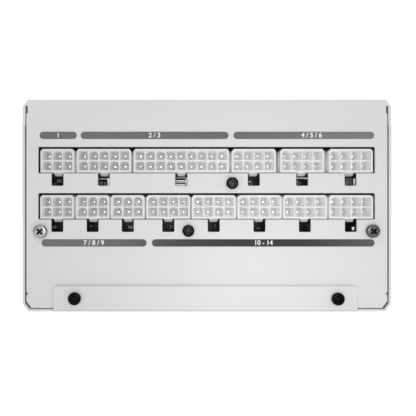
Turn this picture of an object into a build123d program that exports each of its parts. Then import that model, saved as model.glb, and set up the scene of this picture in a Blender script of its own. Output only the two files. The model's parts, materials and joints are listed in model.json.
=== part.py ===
from build123d import *
import math
import os

# Fully modular ATX power supply unit, millimetres.
# +X is right when the socket panel is faced, the socket panel faces -Y, +Z is up.
# The fan faces down. The origin is the centre of the bounding box's underside.

# ---- casing ---------------------------------------------------------------
WIDTH = 150.0
HEIGHT = 86.0
DEPTH = 150.0               # flap face to rear panel face
SHEET = 1.0
SEAM_Z = 75.5               # top edge of the cover's side walls
LIP_INSET = 0.2             # the base's lips sit this far inside the cover's walls
TOP_BEVEL = (2.0, 2.7)      # across, down
BOTTOM_BEVEL = (2.3, 3.1)   # across, up
PANEL_GAP = 0.35            # between a panel's edge and the walls around it
BEND_RADIUS = 1.2           # outside radius of the bends at the panels
RELIEF_DEPTH = 0.5
RELIEF_SPAN = (80.5, 83.6)
CORNER_DOT_R = 0.55
CORNER_DOT_Z = 7.2
TAB_SIZE = (14.0, 5.0)      # tabs tucked behind the cover's walls: length, reach below the seam
TAB_PITCH = 40.0

# ---- screws ---------------------------------------------------------------
M3_R = 1.5
CLEARANCE_R = 1.7
PAN_HEAD_R = 2.75
PAN_HEAD_H = 1.7
BLACK_HEAD_R = 2.45
FLAP_HEAD_R = 2.6
SCREW_LENGTH = 6.0
BOARD_SCREW_LENGTH = 5.0
FAN_SCREW_LENGTH = 9.0
FAN_SCREW_SINK = 0.3        # of its head's face above the casing's underside
FAN_SCREW_FIT = 0.1
FAN_HEAD_R = 3.6
HEAD_ROUNDING = 0.45        # share of a pan head's height
RECESS_SHARE = 0.65         # share of a pan head's height that its cross is deep
FLAT_RECESS_SHARE = 0.8     # the same for a countersunk head
CROSS = (3.0, 0.8)          # length and width of the cross's arms
CROSS_CORE_R = 0.75
CROSS_TAPER = 12.0
FLAP_SCREW_TURN = 20.0      # how far each kind of screw's cross is turned
BLACK_SCREW_TURN = 35.0
SILVER_SCREW_TURN = 45.0
FRONT_PROUD = PAN_HEAD_H    # the flap's screw heads stand out this far

# ---- rocker switch --------------------------------------------------------
ROCKER_TILT = 10.0          # either side of level
ROCKER_HALF_LENGTH = 8.0
ROCKER_HALF_WIDTH = 5.2
ROCKER_VALLEY = 3.2         # pivot to the middle of the outer face
ROCKER_END = ROCKER_VALLEY + ROCKER_HALF_LENGTH * math.tan(math.radians(ROCKER_TILT))
SWITCH_FLANGE = (15.0, 21.5, 2.0)
SWITCH_BODY = (12.9, 19.4, 16.0)
ROCKER_ROOM = (0.35, 1.0)   # around the rocker in its housing, across and along
ROCKER_SKIRT = (0.2, -2.6, 3.0)     # from the pivot: ends' inner edge, underside, underside's half length
TRUNNION_R = 1.2
TRUNNION_FIT = 0.1
TRUNNION_REACH = 6.15       # from the rocker's middle
SWITCH_ROUND = 1.2
SWITCH_OPENING_DEPTH = 5.0
SWITCH_TAB = (6.3, 6.0, 0.8)        # width, length, thickness
SWITCH_TAB_Z = 5.0          # either side of the switch's middle
SWITCH_X = -22.0
ROCKER_FLUSH = 0.3          # the pressed end stands this far above the flange


def turned(y, z, degrees):
    """A point of the YZ plane after a turn about +X."""
    angle = math.radians(degrees)
    return (y * math.cos(angle) - z * math.sin(angle), y * math.sin(angle) + z * math.cos(angle))


PRESSED_END = turned(ROCKER_END, ROCKER_HALF_LENGTH, ROCKER_TILT)[0]
RAISED_END = turned(ROCKER_END, -ROCKER_HALF_LENGTH, ROCKER_TILT)[0]
ROCKER_PIVOT_OUT = SWITCH_FLANGE[2] + ROCKER_FLUSH - PRESSED_END
REAR_PROUD = ROCKER_PIVOT_OUT + RAISED_END

# ---- places along Y, worked out so that the origin is under the box's middle ----
Y_FRONT = -(DEPTH + FRONT_PROUD + REAR_PROUD) / 2 + FRONT_PROUD    # flap face
Y_PANEL = Y_FRONT + SHEET                                          # socket panel's outer face
Y_REAR = Y_FRONT + DEPTH                                           # rear panel's outer face
Y_FAN = (Y_PANEL + Y_REAR) / 2

# ---- flap -----------------------------------------------------------------
FLAP_X = (-62.1, 61.0)
FLAP_TOP = 10.4
FLAP_CORNER = 1.6
FLAP_SCREWS = [(-53.6, 5.4), (52.9, 5.3)]

# ---- socket panel ---------------------------------------------------------
ROW_X = (-68.6, 68.4)
ROW_HEIGHT = 10.7
ROW_CORNER = 0.5
UPPER_ROW_Z = 56.2          # bottom edge of the upper row's slot
LOWER_ROW_Z = 37.4
WINDOW = (4.9, 5.1)         # latch window under each socket, width and height
# columns of ways and centre of each socket
UPPER_ROW = [(3, -60.8), (5, -41.9), (9, -10.4), (4, 19.1), (4, 38.8), (4, 58.5)]
LOWER_ROW = [(3, -60.9), (3, -46.5), (3, -32.2), (4, -15.7),
             (4, 2.8), (4, 21.4), (4, 39.9), (4, 58.6)]
BLACK_SCREWS = [(10.3, 52.15), (-7.55, 32.8)]
SILVER_SCREWS = [(-67.7, 32.5), (67.4, 32.65)]

# ---- sockets, 4.2 mm pitch ------------------------------------------------
PITCH = 4.2
CELL = 3.55
CELL_ROUND = 1.35
CELL_DEPTH = 9.8
MOUTH = 0.18                # lead-in around each cell
SOCKET_WALL = 1.2           # total added to the pitches across a socket
SOCKET_HEIGHT = 9.6
SOCKET_LENGTH = 11.8        # face to circuit board
SOCKET_PROUD = 0.3
SOCKET_BEVEL = 0.9
SOCKET_RIM = 0.22
SOCKET_Z_IN_ROW = 0.3       # above the slot's bottom edge
LEDGE = (3.7, 2.9, 1.35)    # latch ledge: root width, tip width, height
LEDGE_Y = (2.4, 6.5)        # behind the socket's face
PIN_SIDE = 1.07
PIN_RECESS = 4.6
PIN_TIP_ROUND = 0.42
# which cells are keyed with round upper corners, left to right, for each number of columns
KEYED_UPPER = {3: (1, 2), 4: (0,), 5: (1, 2), 9: (1, 2, 5, 6)}
KEYED_LOWER = {3: (0,), 4: (2,), 5: (0, 3, 4), 9: (0, 3, 4, 7, 8)}

# ---- modular board --------------------------------------------------------
BOARD = 1.6
Y_MODULAR = Y_PANEL - SOCKET_PROUD + SOCKET_LENGTH
MODULAR_HALF_WIDTH = 71.5
MODULAR_Z = (30.2, 77.0)
SPACER_R = 2.6
BUS_BAR_X = (-45.0, -15.0, 15.0, 45.0)
BUS_BAR = (12.0, 1.0)       # width, thickness
BUS_BAR_LOW = 62.0
BUS_BAR_FOOT = 6.0

# ---- fan, 120 mm ----------------------------------------------------------
FAN_SIZE = 120.0
FAN_HEIGHT = 25.0
FAN_CORNER = 6.0
FAN_HOLES = 105.0           # between screw holes
FAN_HOLE_R = 2.15
FAN_BORE_R = 58.0
FAN_MOUTH_R = 59.2
FAN_MOUTH_H = 4.0
FAN_WALL = 1.8              # around the bore
FAN_RIM = 4.0               # thickness of the frame's two corner plates
PAN_SIDE = 122.0            # dished square that the grille sits in
PAN_CORNER = 11.0
PAN_DEPTH = 3.6
PAN_TAPER = 30.0
PAN_HOLE_R = 57.0
Z_FAN = PAN_DEPTH + SHEET
HUB_R = 20.0
HUB_WALL = 1.8
HUB_HEIGHT = 19.0
HUB_LIFT = 2.0              # hub's face above the frame's lower face
HUB_ROUND = 1.5
HUB_BOSS = (3.4, 1.4)       # radius, height
SHAFT_SEAT = 1.0            # of the hub's face left under the shaft
BLADES = 9
BLADE_TIP_R = 56.4
BLADE_THICK = 1.7
BLADE_ARCH = 0.12           # rise as a share of the chord
# radius, chord, pitch and sweep of each section, from the root to past the tip
BLADE_SECTIONS = [(18.8, 17.0, 46.0, 0.0), (38.0, 25.0, 36.0, 7.0), (57.9, 31.0, 26.0, 17.0)]
MOTOR_BASE_R = 19.0
MOTOR_BASE = 2.4
STRUTS = 4
STRUT_WIDTH = 4.0
STRUT_ROOT_R = 9.0
STRUT_TURN = 20.0
SHAFT_R = 1.5
SHAFT_FIT = 0.05
SHAFT_END_GAP = 0.5
BEARING_PROUD = 0.6         # below the coils
BEARING_R = 4.0
TUBE_R = 5.4
STATOR_R = 16.6
STATOR_Z = (6.0, 17.0)      # above the frame's lower face
STATOR_SLOT = (12.0, 2.4)
POLES = 4
WIRE_R = 0.8
GRILLE_RINGS = [10.0, 17.6, 25.2, 32.8, 40.4, 48.0, 55.6]
LOOP_R = 3.1
RING_LAP = 0.75             # rings overlap the cross bars by a quarter of a wire's radius
BAFFLE = 0.4
BAFFLE_REACH = 34.0

# ---- rear panel -----------------------------------------------------------
VENT_FLAT = 5.0             # hexagon, flat to flat
VENT_PITCH = 6.1
VENT_X = 68.0
VENT_Z = (11.0, 79.0)
VENT_MARGIN = 3.4           # from a hexagon's centre to anything fitted in the panel
THREAD_R = 1.75             # No. 6-32
THREAD_COLLAR = 2.0
REAR_HOLES = [(69.0, 6.0), (-69.0, 6.0), (69.0, 70.0), (-45.0, 80.0)]
REAR_HOLE_LAND = 4.6
INLET_X = -49.0
INLET_Z = 48.0
INLET_FLANGE = (31.0, 24.0, 2.0)
INLET_BODY = (27.2, 19.8)
INLET_CAVITY = (24.6, 17.0, 16.0)
INLET_BEVEL = 4.2
INLET_ROUND = 2.0
INLET_LENGTH = 19.0
INLET_PIN = (2.0, 4.0)
INLET_PIN_PITCH = 7.0
INLET_PIN_RISE = 2.0
INLET_PIN_RECESS = 1.6
INLET_TAB = 3.0
PIN_BEVEL = 0.4
FLANGE_Z = (20.0, 62.0)     # side flanges bent from the rear panel
FLANGE_LENGTH = 13.0
SIDE_SCREW_Z = 41.0
COUNTERSINK_R = 2.75

# ---- main board and what hangs from it ------------------------------------
MAIN_HALF_WIDTH = 70.5
Z_BOARD = 78.0              # component side, facing down
MAIN_Y = (Y_MODULAR + BOARD + 0.4, Y_REAR - 8.0)
STANDOFF_R = 2.5
STANDOFF_HEAD_R = 2.1
STANDOFFS = [(-66.0, -56.0), (66.0, -56.0), (-66.0, 60.0), (66.0, 60.0)]
STANDOFF_BORE_TOP = 1.2     # the stud's bore ends this far below its shoulder
STANDOFF_SINK = 0.1         # of its head below the top plate's face
FILM = 0.5
FILM_ROOM = 0.3             # around the studs
WIRE_SLEEVE_R = 1.2
WIRE_BEND = 2.5
WIRE_RUN = 5.0              # behind the switch's tabs
WIRE_STAGGER = 0.4

# ---- components on the main board: places and sizes -----------------------
CAN_GROOVE = 0.5
CAN_GROOVE_PLACE = 0.08     # share of a can's height, from the board
CAN_ROUND = 0.08            # share of a can's radius
CAN_SCORE = 0.4
BULK_CAN = (15.0, 42.0)     # radius, height
BULK_CANS = [(-52.0, -40.0), (-20.0, -40.0)]
OUTPUT_CAN = (4.0, 12.0)
OUTPUT_CAN_X = [8.0 + 9.5 * number for number in range(6)]
OUTPUT_CAN_Y = (-50.0, -40.5)
# a choke: radius, bore radius, length of the core, turns and wire
PFC_CHOKE = (17.0, 9.0, 16.0, 18, 1.4)
PFC_CHOKE_XY = (-48.0, 0.0)
LINE_CHOKES = [((-54.0, 30.0), (12.0, 6.0, 11.0, 12, 1.2)), ((-24.0, 36.0), (11.0, 5.5, 10.0, 12, 1.2))]
OUTPUT_CHOKES = [((51.0, y), (11.0, 5.0, 10.0, 14, 1.0)) for y in (30.0, 4.0)]
LEAD_ROOM = 2.4             # between a choke and the board, in wires
SINK_PLATE = 3.0
SINK_FINS = 6
SINK_FIN = (6.0, 1.2)       # reach, thickness
SINK_FIN_Z = (2.0, 10.0)    # from the plate's lower edge, and from the board
SINK_LOW = 38.0
PRIMARY_SINK = (-22.0, -14.0, 24.0)     # x, and where it starts and ends along Y
SECONDARY_SINK = (36.0, -14.0, 44.0)
TRANSISTOR_Y = (-8.0, 5.0, 18.0)
TRANSISTOR = (4.7, 10.0)    # thickness, width
TRANSISTOR_Z = (52.0, 68.0)
LEAD = 0.8
LEAD_PITCH = 3.0
RECTIFIER_X = (-4.0, 2.0)
RECTIFIER_Y = (44.0, 64.4)
RECTIFIER_Z = (50.0, 68.0)
RECTIFIER_LEAD_Y = (46.0, 51.0, 56.0, 61.0)
RECTIFIER_LEAD = (1.0, 1.2)
CORE_XY = (8.0, 4.0)
CORE = (13.0, 38.0)         # across, along
CORE_Z = (40.0, 75.0)
CORE_YOKE = 6.0
CORE_LEG_R = 6.5
COIL_R = 12.0
COIL_ROOM = 0.5
FOOT = (20.0, 6.0)
FOOT_Y = 14.0
STANDBY_XY = (20.0, 54.0)
STANDBY_CORE = (20.0, 16.0, 20.0, 2.0)      # across, along, reach below the board, feet's height
STANDBY_COIL = (13.0, 21.0, 16.5, 5.5)      # across, along, from and to below the board
STANDBY_FOOT = 18.0
FILTER_BOARD_Y = (Y_REAR - INLET_LENGTH - INLET_TAB - BOARD, Y_REAR - INLET_LENGTH - INLET_TAB)
FILTER_BOARD_X = (-15.0, 13.0)              # about the inlet
FILTER_BOARD_Z = (-12.0, 13.0)
X_CAPACITOR = (22.0, 9.0)   # width, depth
X_CAPACITOR_Z = (-6.0, 8.0)
X_CAPACITOR_ROUND = 0.8
CONVERTER_X = (14.0, 62.0)
CONVERTER_Y = -31.0
CONVERTER_LOW = 46.0
CONVERTER_CHOKE_X = (22.0, 36.0, 50.0)
CONVERTER_CHOKE = (10.0, 5.4)               # width, depth
CONVERTER_CHOKE_Z = (54.0, 66.0)
CONTROL_X = 66.0
CONTROL_Y = (-10.0, 44.0)
CONTROL_LOW = 52.0
CONTROL_CHIP_Y = (-2.0, 12.0, 26.0)
CONTROL_CHIP = (1.8, 8.0)   # height, side
CONTROL_CHIP_LOW = 60.0


def block(x0, x1, y0, y1, z0, z1):
    """A box between two corners."""
    return Pos((x0 + x1) / 2, (y0 + y1) / 2, (z0 + z1) / 2) * Box(x1 - x0, y1 - y0, z1 - z0)


def centred(x, y, size_x, size_y, z0, z1):
    """An upright box around a point."""
    return Pos(x, y, (z0 + z1) / 2) * Box(size_x, size_y, z1 - z0)


def rod_x(y, z, radius, x0, x1):
    return Pos((x0 + x1) / 2, y, z) * Rot(0, 90, 0) * Cylinder(radius, x1 - x0)


def rod_y(x, z, radius, y0, y1):
    return Pos(x, (y0 + y1) / 2, z) * Rot(90, 0, 0) * Cylinder(radius, y1 - y0)


def rod_z(x, y, radius, z0, z1):
    return Pos(x, y, (z0 + z1) / 2) * Cylinder(radius, z1 - z0)


def polygon(*points):
    return make_face(Polyline(*points, close=True))


def prism_y(face, y0, y1):
    """A face drawn as (x, z), extruded from y0 to y1."""
    plane = Plane(origin=(0, y1, 0), x_dir=(1, 0, 0), z_dir=(0, -1, 0))
    return extrude(plane * face, amount=y1 - y0)


def prism_x(face, x0, x1):
    """A face drawn as (y, z), extruded from x0 to x1."""
    return extrude(Plane.YZ.offset(x0) * face, amount=x1 - x0)


def group(solids):
    """Separate solids kept in one node."""
    return Compound(children=[solid for part in solids for solid in part.solids()])


# ---- screws ---------------------------------------------------------------
def phillips(depth):
    """The cross recess, cut downwards from z = 0."""
    arms = Rectangle(*CROSS) + Rectangle(*reversed(CROSS))
    core = Pos(0, 0, -depth / 2) * Cylinder(CROSS_CORE_R, depth)
    return extrude(arms, amount=-depth, taper=CROSS_TAPER) + core


def pan_screw(head_r, head_h=PAN_HEAD_H, shank_r=M3_R, length=SCREW_LENGTH):
    """Head upwards, its bearing face at z = 0."""
    head = Pos(0, 0, head_h / 2) * Cylinder(head_r, head_h)
    head = fillet(head.edges().sort_by(Axis.Z)[-1], head_h * HEAD_ROUNDING)
    head -= Pos(0, 0, head_h) * phillips(head_h * RECESS_SHARE)
    return head + Pos(0, 0, -length / 2) * Cylinder(shank_r, length)


def flat_blank():
    """A countersunk screw before its recess is cut, its outer face at z = 0."""
    head = Pos(0, 0, -SHEET / 2) * Cone(M3_R, COUNTERSINK_R, SHEET)
    return head + Pos(0, 0, -SHEET - SCREW_LENGTH / 2) * Cylinder(M3_R, SCREW_LENGTH)


def front_screws(places, y_bearing, head_r, angle):
    """Screws whose heads face the front."""
    screw = pan_screw(head_r)
    return group([Pos(x, y_bearing, z) * Rot(90, 0, 0) * Rot(0, 0, angle) * screw for x, z in places])


# ---- casing ---------------------------------------------------------------
def outline(half_width, bottom=0.0):
    """The casing's bevelled outline as (x, z)."""
    left_up = (-half_width, HEIGHT - TOP_BEVEL[1])
    right_up = (half_width, HEIGHT - TOP_BEVEL[1])
    return polygon((-half_width + BOTTOM_BEVEL[0], bottom), (half_width - BOTTOM_BEVEL[0], bottom),
                   (half_width, bottom + BOTTOM_BEVEL[1]), right_up, (half_width - TOP_BEVEL[0], HEIGHT),
                   (-half_width + TOP_BEVEL[0], HEIGHT), left_up, (-half_width, bottom + BOTTOM_BEVEL[1]))


def ring(half_width, y0, y1):
    """The outline as a bent sheet, open at both ends."""
    face = outline(half_width)
    inner = offset(face, amount=-SHEET, kind=Kind.INTERSECTION)
    return prism_y(face - inner, y0, y1)


def panel_outline():
    """Both end panels' outline: inside the walls, and up to the top plate's face."""
    half = WIDTH / 2 - SHEET - PANEL_GAP
    bottom = SHEET + PANEL_GAP
    bevel = BOTTOM_BEVEL
    top = HEIGHT
    lip = WIDTH / 2 - LIP_INSET - TOP_BEVEL[0]
    return polygon((-half + bevel[0], bottom), (half - bevel[0], bottom), (half, bottom + bevel[1]),
                   (half, top - TOP_BEVEL[1]), (lip, top), (-lip, top),
                   (-half, top - TOP_BEVEL[1]), (-half, bottom + bevel[1]))


def base_strip():
    """Front panel, top plate and rear panel as one bent strip."""
    reach = WIDTH / 2
    face = polygon((Y_PANEL, 0), (Y_PANEL, HEIGHT), (Y_REAR, HEIGHT), (Y_REAR, 0))
    face = fillet(face.vertices().group_by(Axis.Y)[0].sort_by(Axis.Z)[-1], BEND_RADIUS)
    face = fillet(face.vertices().group_by(Axis.Y)[-1].sort_by(Axis.Z)[-1], BEND_RADIUS)
    inside = polygon((Y_PANEL + SHEET, -1), (Y_PANEL + SHEET, HEIGHT - SHEET),
                     (Y_REAR - SHEET, HEIGHT - SHEET), (Y_REAR - SHEET, -1))
    strip = prism_x(face - inside, -reach, reach)
    return strip & prism_y(panel_outline(), Y_PANEL - 1, Y_REAR + 1)


def row_slot(row, z):
    """One row's slot with a latch window under each socket."""
    middle = (ROW_X[0] + ROW_X[1]) / 2
    slot = Pos(middle, z + ROW_HEIGHT / 2) * RectangleRounded(ROW_X[1] - ROW_X[0], ROW_HEIGHT, ROW_CORNER)
    for _, x in row:
        slot += Pos(x, z) * RectangleRounded(WINDOW[0], WINDOW[1] * 2, ROW_CORNER)
    return prism_y(slot, Y_PANEL - 1, Y_PANEL + SHEET + 1)


def in_vent(x, z):
    """Whether a hexagon may sit here, clear of the inlet, the switch and the threads."""
    fitted = [(INLET_X, INLET_Z, INLET_FLANGE), (SWITCH_X, INLET_Z, SWITCH_FLANGE)]
    for centre_x, centre_z, size in fitted:
        near_x = abs(x - centre_x) < size[0] / 2 + VENT_MARGIN
        if near_x and abs(z - centre_z) < size[1] / 2 + VENT_MARGIN:
            return False
    lands = [math.hypot(x - hole_x, z - hole_z) for hole_x, hole_z in REAR_HOLES]
    return min(lands) > REAR_HOLE_LAND + VENT_FLAT / 2


def vent():
    """The honeycomb of air holes in the rear panel."""
    hexagon = Rot(0, 0, 30) * RegularPolygon(VENT_FLAT / 2, 6, major_radius=False)
    rise = VENT_PITCH * math.sqrt(3) / 2
    rows = int((VENT_Z[1] - VENT_Z[0]) / rise)
    columns = int(VENT_X / VENT_PITCH)
    holes = []
    for row in range(rows + 1):
        z = VENT_Z[0] + row * rise
        shift = VENT_PITCH / 2 if row % 2 else 0.0
        for column in range(-columns, columns + 1):
            x = column * VENT_PITCH + shift
            if abs(x) <= VENT_X and in_vent(x, z):
                holes.append(prism_y(Pos(x, z) * hexagon, Y_REAR - SHEET - 1, Y_REAR + 1))
    return holes


def base_shell():
    lip_half = WIDTH / 2 - LIP_INSET
    shell = ring(lip_half, Y_PANEL, Y_REAR) & block(-WIDTH, WIDTH, Y_PANEL, Y_REAR, SEAM_Z, HEIGHT)
    gap_x = (lip_half - SHEET - PANEL_GAP, lip_half - SHEET)
    shell += base_strip()
    for side in (-1, 1):
        for y0, y1 in ((Y_PANEL - 1, Y_PANEL + SHEET), (Y_REAR - SHEET, Y_REAR + 1)):
            low, high = sorted((side * gap_x[0], side * gap_x[1]))
            shell -= block(low, high, y0, y1, 0, RELIEF_SPAN[1])
            low, high = sorted((side * (gap_x[0] - RELIEF_DEPTH), side * gap_x[1]))
            shell -= block(low, high, y0, y1, *RELIEF_SPAN)
        shell -= rod_y(side * gap_x[0], CORNER_DOT_Z, CORNER_DOT_R, Y_PANEL - 1, Y_PANEL + SHEET + 1)
        shell += rear_flange(side)
        shell += tuck_tabs(side)
    shell -= row_slot(UPPER_ROW, UPPER_ROW_Z)
    shell -= row_slot(LOWER_ROW, LOWER_ROW_Z)
    for x, z in FLAP_SCREWS:
        shell -= rod_y(x, z, M3_R, Y_PANEL - 1, Y_PANEL + SHEET + 1)
    for x, z in BLACK_SCREWS + SILVER_SCREWS:
        shell -= rod_y(x, z, CLEARANCE_R, Y_PANEL - 1, Y_PANEL + SHEET + 1)
    for x, z in REAR_HOLES:
        shell += rod_y(x, z, THREAD_R + SHEET, Y_REAR - THREAD_COLLAR, Y_REAR)
        shell -= rod_y(x, z, THREAD_R, Y_REAR - THREAD_COLLAR - 1, Y_REAR + 1)
    shell -= block(INLET_X - INLET_BODY[0] / 2, INLET_X + INLET_BODY[0] / 2, Y_REAR - 2, Y_REAR + 1,
                   INLET_Z - INLET_BODY[1] / 2, INLET_Z + INLET_BODY[1] / 2)
    shell -= block(SWITCH_X - SWITCH_BODY[0] / 2, SWITCH_X + SWITCH_BODY[0] / 2, Y_REAR - 2, Y_REAR + 1,
                   INLET_Z - SWITCH_BODY[1] / 2, INLET_Z + SWITCH_BODY[1] / 2)
    for x, y in STANDOFFS:
        shell -= rod_z(x, y, STANDOFF_HEAD_R, HEIGHT - SHEET - 1, HEIGHT + 1)
    return shell - vent()


def rear_flange(side):
    """A flange bent forward from the rear panel's edge, which takes a side screw."""
    outer = WIDTH / 2 - SHEET
    low, high = sorted((side * outer, side * (outer - SHEET)))
    flange = block(low, high, Y_REAR - FLANGE_LENGTH, Y_REAR, *FLANGE_Z)
    low, high = sorted((side * (outer + 1), side * (outer - SHEET - 1)))
    return flange - rod_x(Y_REAR - FLANGE_LENGTH / 2, SIDE_SCREW_Z, M3_R, low, high)


def tuck_tabs(side):
    """Tabs of the base's lip that tuck behind the cover's side wall."""
    outer = WIDTH / 2 - SHEET
    low, high = sorted((side * outer, side * (outer - SHEET)))
    length, reach = TAB_SIZE
    places = [Y_FAN + step * TAB_PITCH for step in (-1, 0, 1)]
    tabs = [block(low, high, y - length / 2, y + length / 2, SEAM_Z - reach, Z_BOARD) for y in places]
    return group(tabs)


def fan_pan():
    """The dished square around the fan opening: what is added and what is cut away."""
    outer = extrude(RectangleRounded(PAN_SIDE + 2 * SHEET, PAN_SIDE + 2 * SHEET, PAN_CORNER + SHEET),
                    amount=Z_FAN, taper=PAN_TAPER)
    inner = extrude(RectangleRounded(PAN_SIDE, PAN_SIDE, PAN_CORNER), amount=PAN_DEPTH, taper=PAN_TAPER)
    return Pos(0, Y_FAN, 0) * outer, Pos(0, Y_FAN, 0) * inner


def fan_corners():
    half = FAN_HOLES / 2
    return [(x, Y_FAN + y) for x in (-half, half) for y in (-half, half)]


def flap():
    """The front flap, bent up from the fan plate."""
    middle = (FLAP_X[0] + FLAP_X[1]) / 2
    face = Pos(middle, 0) * RectangleRounded(FLAP_X[1] - FLAP_X[0], 2 * FLAP_TOP, FLAP_CORNER)
    profile = polygon((Y_FRONT, 0), (Y_PANEL + SHEET, 0), (Y_PANEL + SHEET, SHEET), (Y_PANEL, SHEET),
                      (Y_PANEL, FLAP_TOP), (Y_FRONT, FLAP_TOP))
    profile = fillet(profile.vertices().sort_by(Axis.Y).group_by(Axis.Z)[0].sort_by(Axis.Y)[0], BEND_RADIUS)
    return prism_x(profile, *FLAP_X) & prism_y(face, Y_FRONT - 1, Y_PANEL + 2 * SHEET)


def fan_cover():
    cover = ring(WIDTH / 2, Y_PANEL, Y_REAR) & block(-WIDTH, WIDTH, Y_PANEL, Y_REAR, 0, SEAM_Z)
    cover += flap()
    added, removed = fan_pan()
    cover = cover + added - removed
    cover -= rod_z(0, Y_FAN, PAN_HOLE_R, 0, Z_FAN + 1)
    for x, y in fan_corners():
        cover -= rod_z(x, y, FAN_HOLE_R, 0, Z_FAN + 1)
    for x, z in FLAP_SCREWS:
        cover -= rod_y(x, z, CLEARANCE_R, Y_FRONT - 1, Y_PANEL)
    for side in (-1, 1):
        cover -= side_place(side) * flat_blank()
    return cover


def side_place(side):
    """Where a side screw's outer face lies, facing outwards."""
    return Pos(side * WIDTH / 2, Y_REAR - FLANGE_LENGTH / 2, SIDE_SCREW_Z) * Rot(0, side * 90, 0)


def side_screws():
    screw = flat_blank() - phillips(SHEET * FLAT_RECESS_SHARE)
    return group([side_place(side) * screw for side in (-1, 1)])


# ---- sockets --------------------------------------------------------------
def cell_face(keyed, grow=0.0):
    """One cell's mouth: square, or with round upper corners."""
    side = CELL + 2 * grow
    face = Rectangle(side, side)
    if keyed:
        face = fillet(face.vertices().group_by(Axis.Y)[-1], CELL_ROUND + grow)
    return face


def cell_places(columns):
    """x, z and key of each cell about the socket's centre."""
    start = -(columns - 1) / 2 * PITCH
    places = []
    for column in range(columns):
        x = start + column * PITCH
        places.append((x, PITCH / 2, column in KEYED_UPPER[columns]))
        places.append((x, -PITCH / 2, column in KEYED_LOWER[columns]))
    return places


def cell_cut(keyed, y_face):
    """What one cell takes out of a housing: the cell and its lead-in."""
    plane = Plane(origin=(0, y_face, 0), x_dir=(1, 0, 0), z_dir=(0, -1, 0))
    hole = extrude(plane * cell_face(keyed), amount=-CELL_DEPTH)
    mouth = extrude(plane * cell_face(keyed, MOUTH), amount=-MOUTH, taper=45)
    return hole + mouth


def socket(columns, x, z_centre):
    """A housing with its cells, latch ledge and the holes that its pins sit in."""
    y_face = Y_PANEL - SOCKET_PROUD
    width = columns * PITCH + SOCKET_WALL
    half = SOCKET_HEIGHT / 2
    outer = Rectangle(width, SOCKET_HEIGHT)
    outer = chamfer(outer.vertices().group_by(Axis.Y)[-1], SOCKET_BEVEL)
    housing = prism_y(outer, y_face, Y_MODULAR)
    housing = chamfer(housing.faces().sort_by(Axis.Y)[0].edges(), SOCKET_RIM)
    ledge = polygon((-LEDGE[0] / 2, -half), (LEDGE[0] / 2, -half),
                    (LEDGE[1] / 2, -half - LEDGE[2]), (-LEDGE[1] / 2, -half - LEDGE[2]))
    housing += prism_y(ledge, y_face + LEDGE_Y[0], y_face + LEDGE_Y[1])
    cells = {key: cell_cut(key, y_face) for key in (False, True)}
    pin_hole = block(-PIN_SIDE / 2, PIN_SIDE / 2, y_face + CELL_DEPTH - 1, Y_MODULAR + 1,
                     -PIN_SIDE / 2, PIN_SIDE / 2)
    cuts = []
    for cell_x, cell_z, keyed in cell_places(columns):
        cuts.append(Pos(cell_x, 0, cell_z) * cells[keyed])
        cuts.append(Pos(cell_x, 0, cell_z) * pin_hole)
    return Pos(x, 0, z_centre) * (housing - cuts)


def row_centre(z):
    return z + SOCKET_Z_IN_ROW + SOCKET_HEIGHT / 2


def all_rows():
    return [("upper", UPPER_ROW, row_centre(UPPER_ROW_Z)), ("lower", LOWER_ROW, row_centre(LOWER_ROW_Z))]


def socket_pins():
    """Square tinned pins with rounded tips, from the board into every cell."""
    y_tip = Y_PANEL - SOCKET_PROUD + PIN_RECESS
    half = PIN_SIDE / 2
    pin = block(-half, half, y_tip, Y_MODULAR, -half, half)
    pin = fillet(pin.faces().sort_by(Axis.Y)[0].edges(), PIN_TIP_ROUND)
    pins = []
    for _, row, z in all_rows():
        for columns, x in row:
            pins += [Pos(x + cell_x, 0, z + cell_z) * pin for cell_x, cell_z, _ in cell_places(columns)]
    return group(pins)


def modular_board():
    board = block(-MODULAR_HALF_WIDTH, MODULAR_HALF_WIDTH, Y_MODULAR, Y_MODULAR + BOARD, *MODULAR_Z)
    for x, z in BLACK_SCREWS + SILVER_SCREWS:
        board -= rod_y(x, z, M3_R, Y_MODULAR - 1, Y_MODULAR + BOARD + 1)
    return board


def modular_spacers():
    """Threaded spacers between the socket panel and the board."""
    spacers = []
    for x, z in BLACK_SCREWS + SILVER_SCREWS:
        spacer = rod_y(x, z, SPACER_R, Y_PANEL + SHEET, Y_MODULAR)
        spacers.append(spacer - rod_y(x, z, M3_R, Y_PANEL, Y_MODULAR + 1))
    return group(spacers)


def bus_bars():
    """Copper bars that carry the outputs from the main board to the modular board."""
    bars = []
    width, thick = BUS_BAR
    front = Y_MODULAR + BOARD
    back = front + thick
    for x in BUS_BAR_X:
        low, high = x - width / 2, x + width / 2
        upright = block(low, high, front, back, BUS_BAR_LOW, Z_BOARD)
        bars.append(upright + block(low, high, back, back + BUS_BAR_FOOT, Z_BOARD - thick, Z_BOARD))
    return group(bars)


# ---- fan ------------------------------------------------------------------
def fan_grille():
    """Wire finger guard: rings welded to a cross whose ends loop round the screws."""
    z_bar = PAN_DEPTH - WIRE_R
    z_ring = z_bar - (1 + RING_LAP) * WIRE_R
    grille = Part()
    for radius in GRILLE_RINGS:
        grille += Pos(0, 0, z_ring) * Torus(radius, WIRE_R)
    reach = FAN_HOLES / 2 * math.sqrt(2) - LOOP_R
    for turn in (45, 135):
        grille += Pos(0, 0, z_bar) * Rot(0, 0, turn) * Rot(0, 90, 0) * Cylinder(WIRE_R, 2 * reach)
    grille = Pos(0, Y_FAN, 0) * grille
    for x, y in fan_corners():
        grille += Pos(x, y, z_bar) * Torus(LOOP_R, WIRE_R)
    return grille


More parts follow.
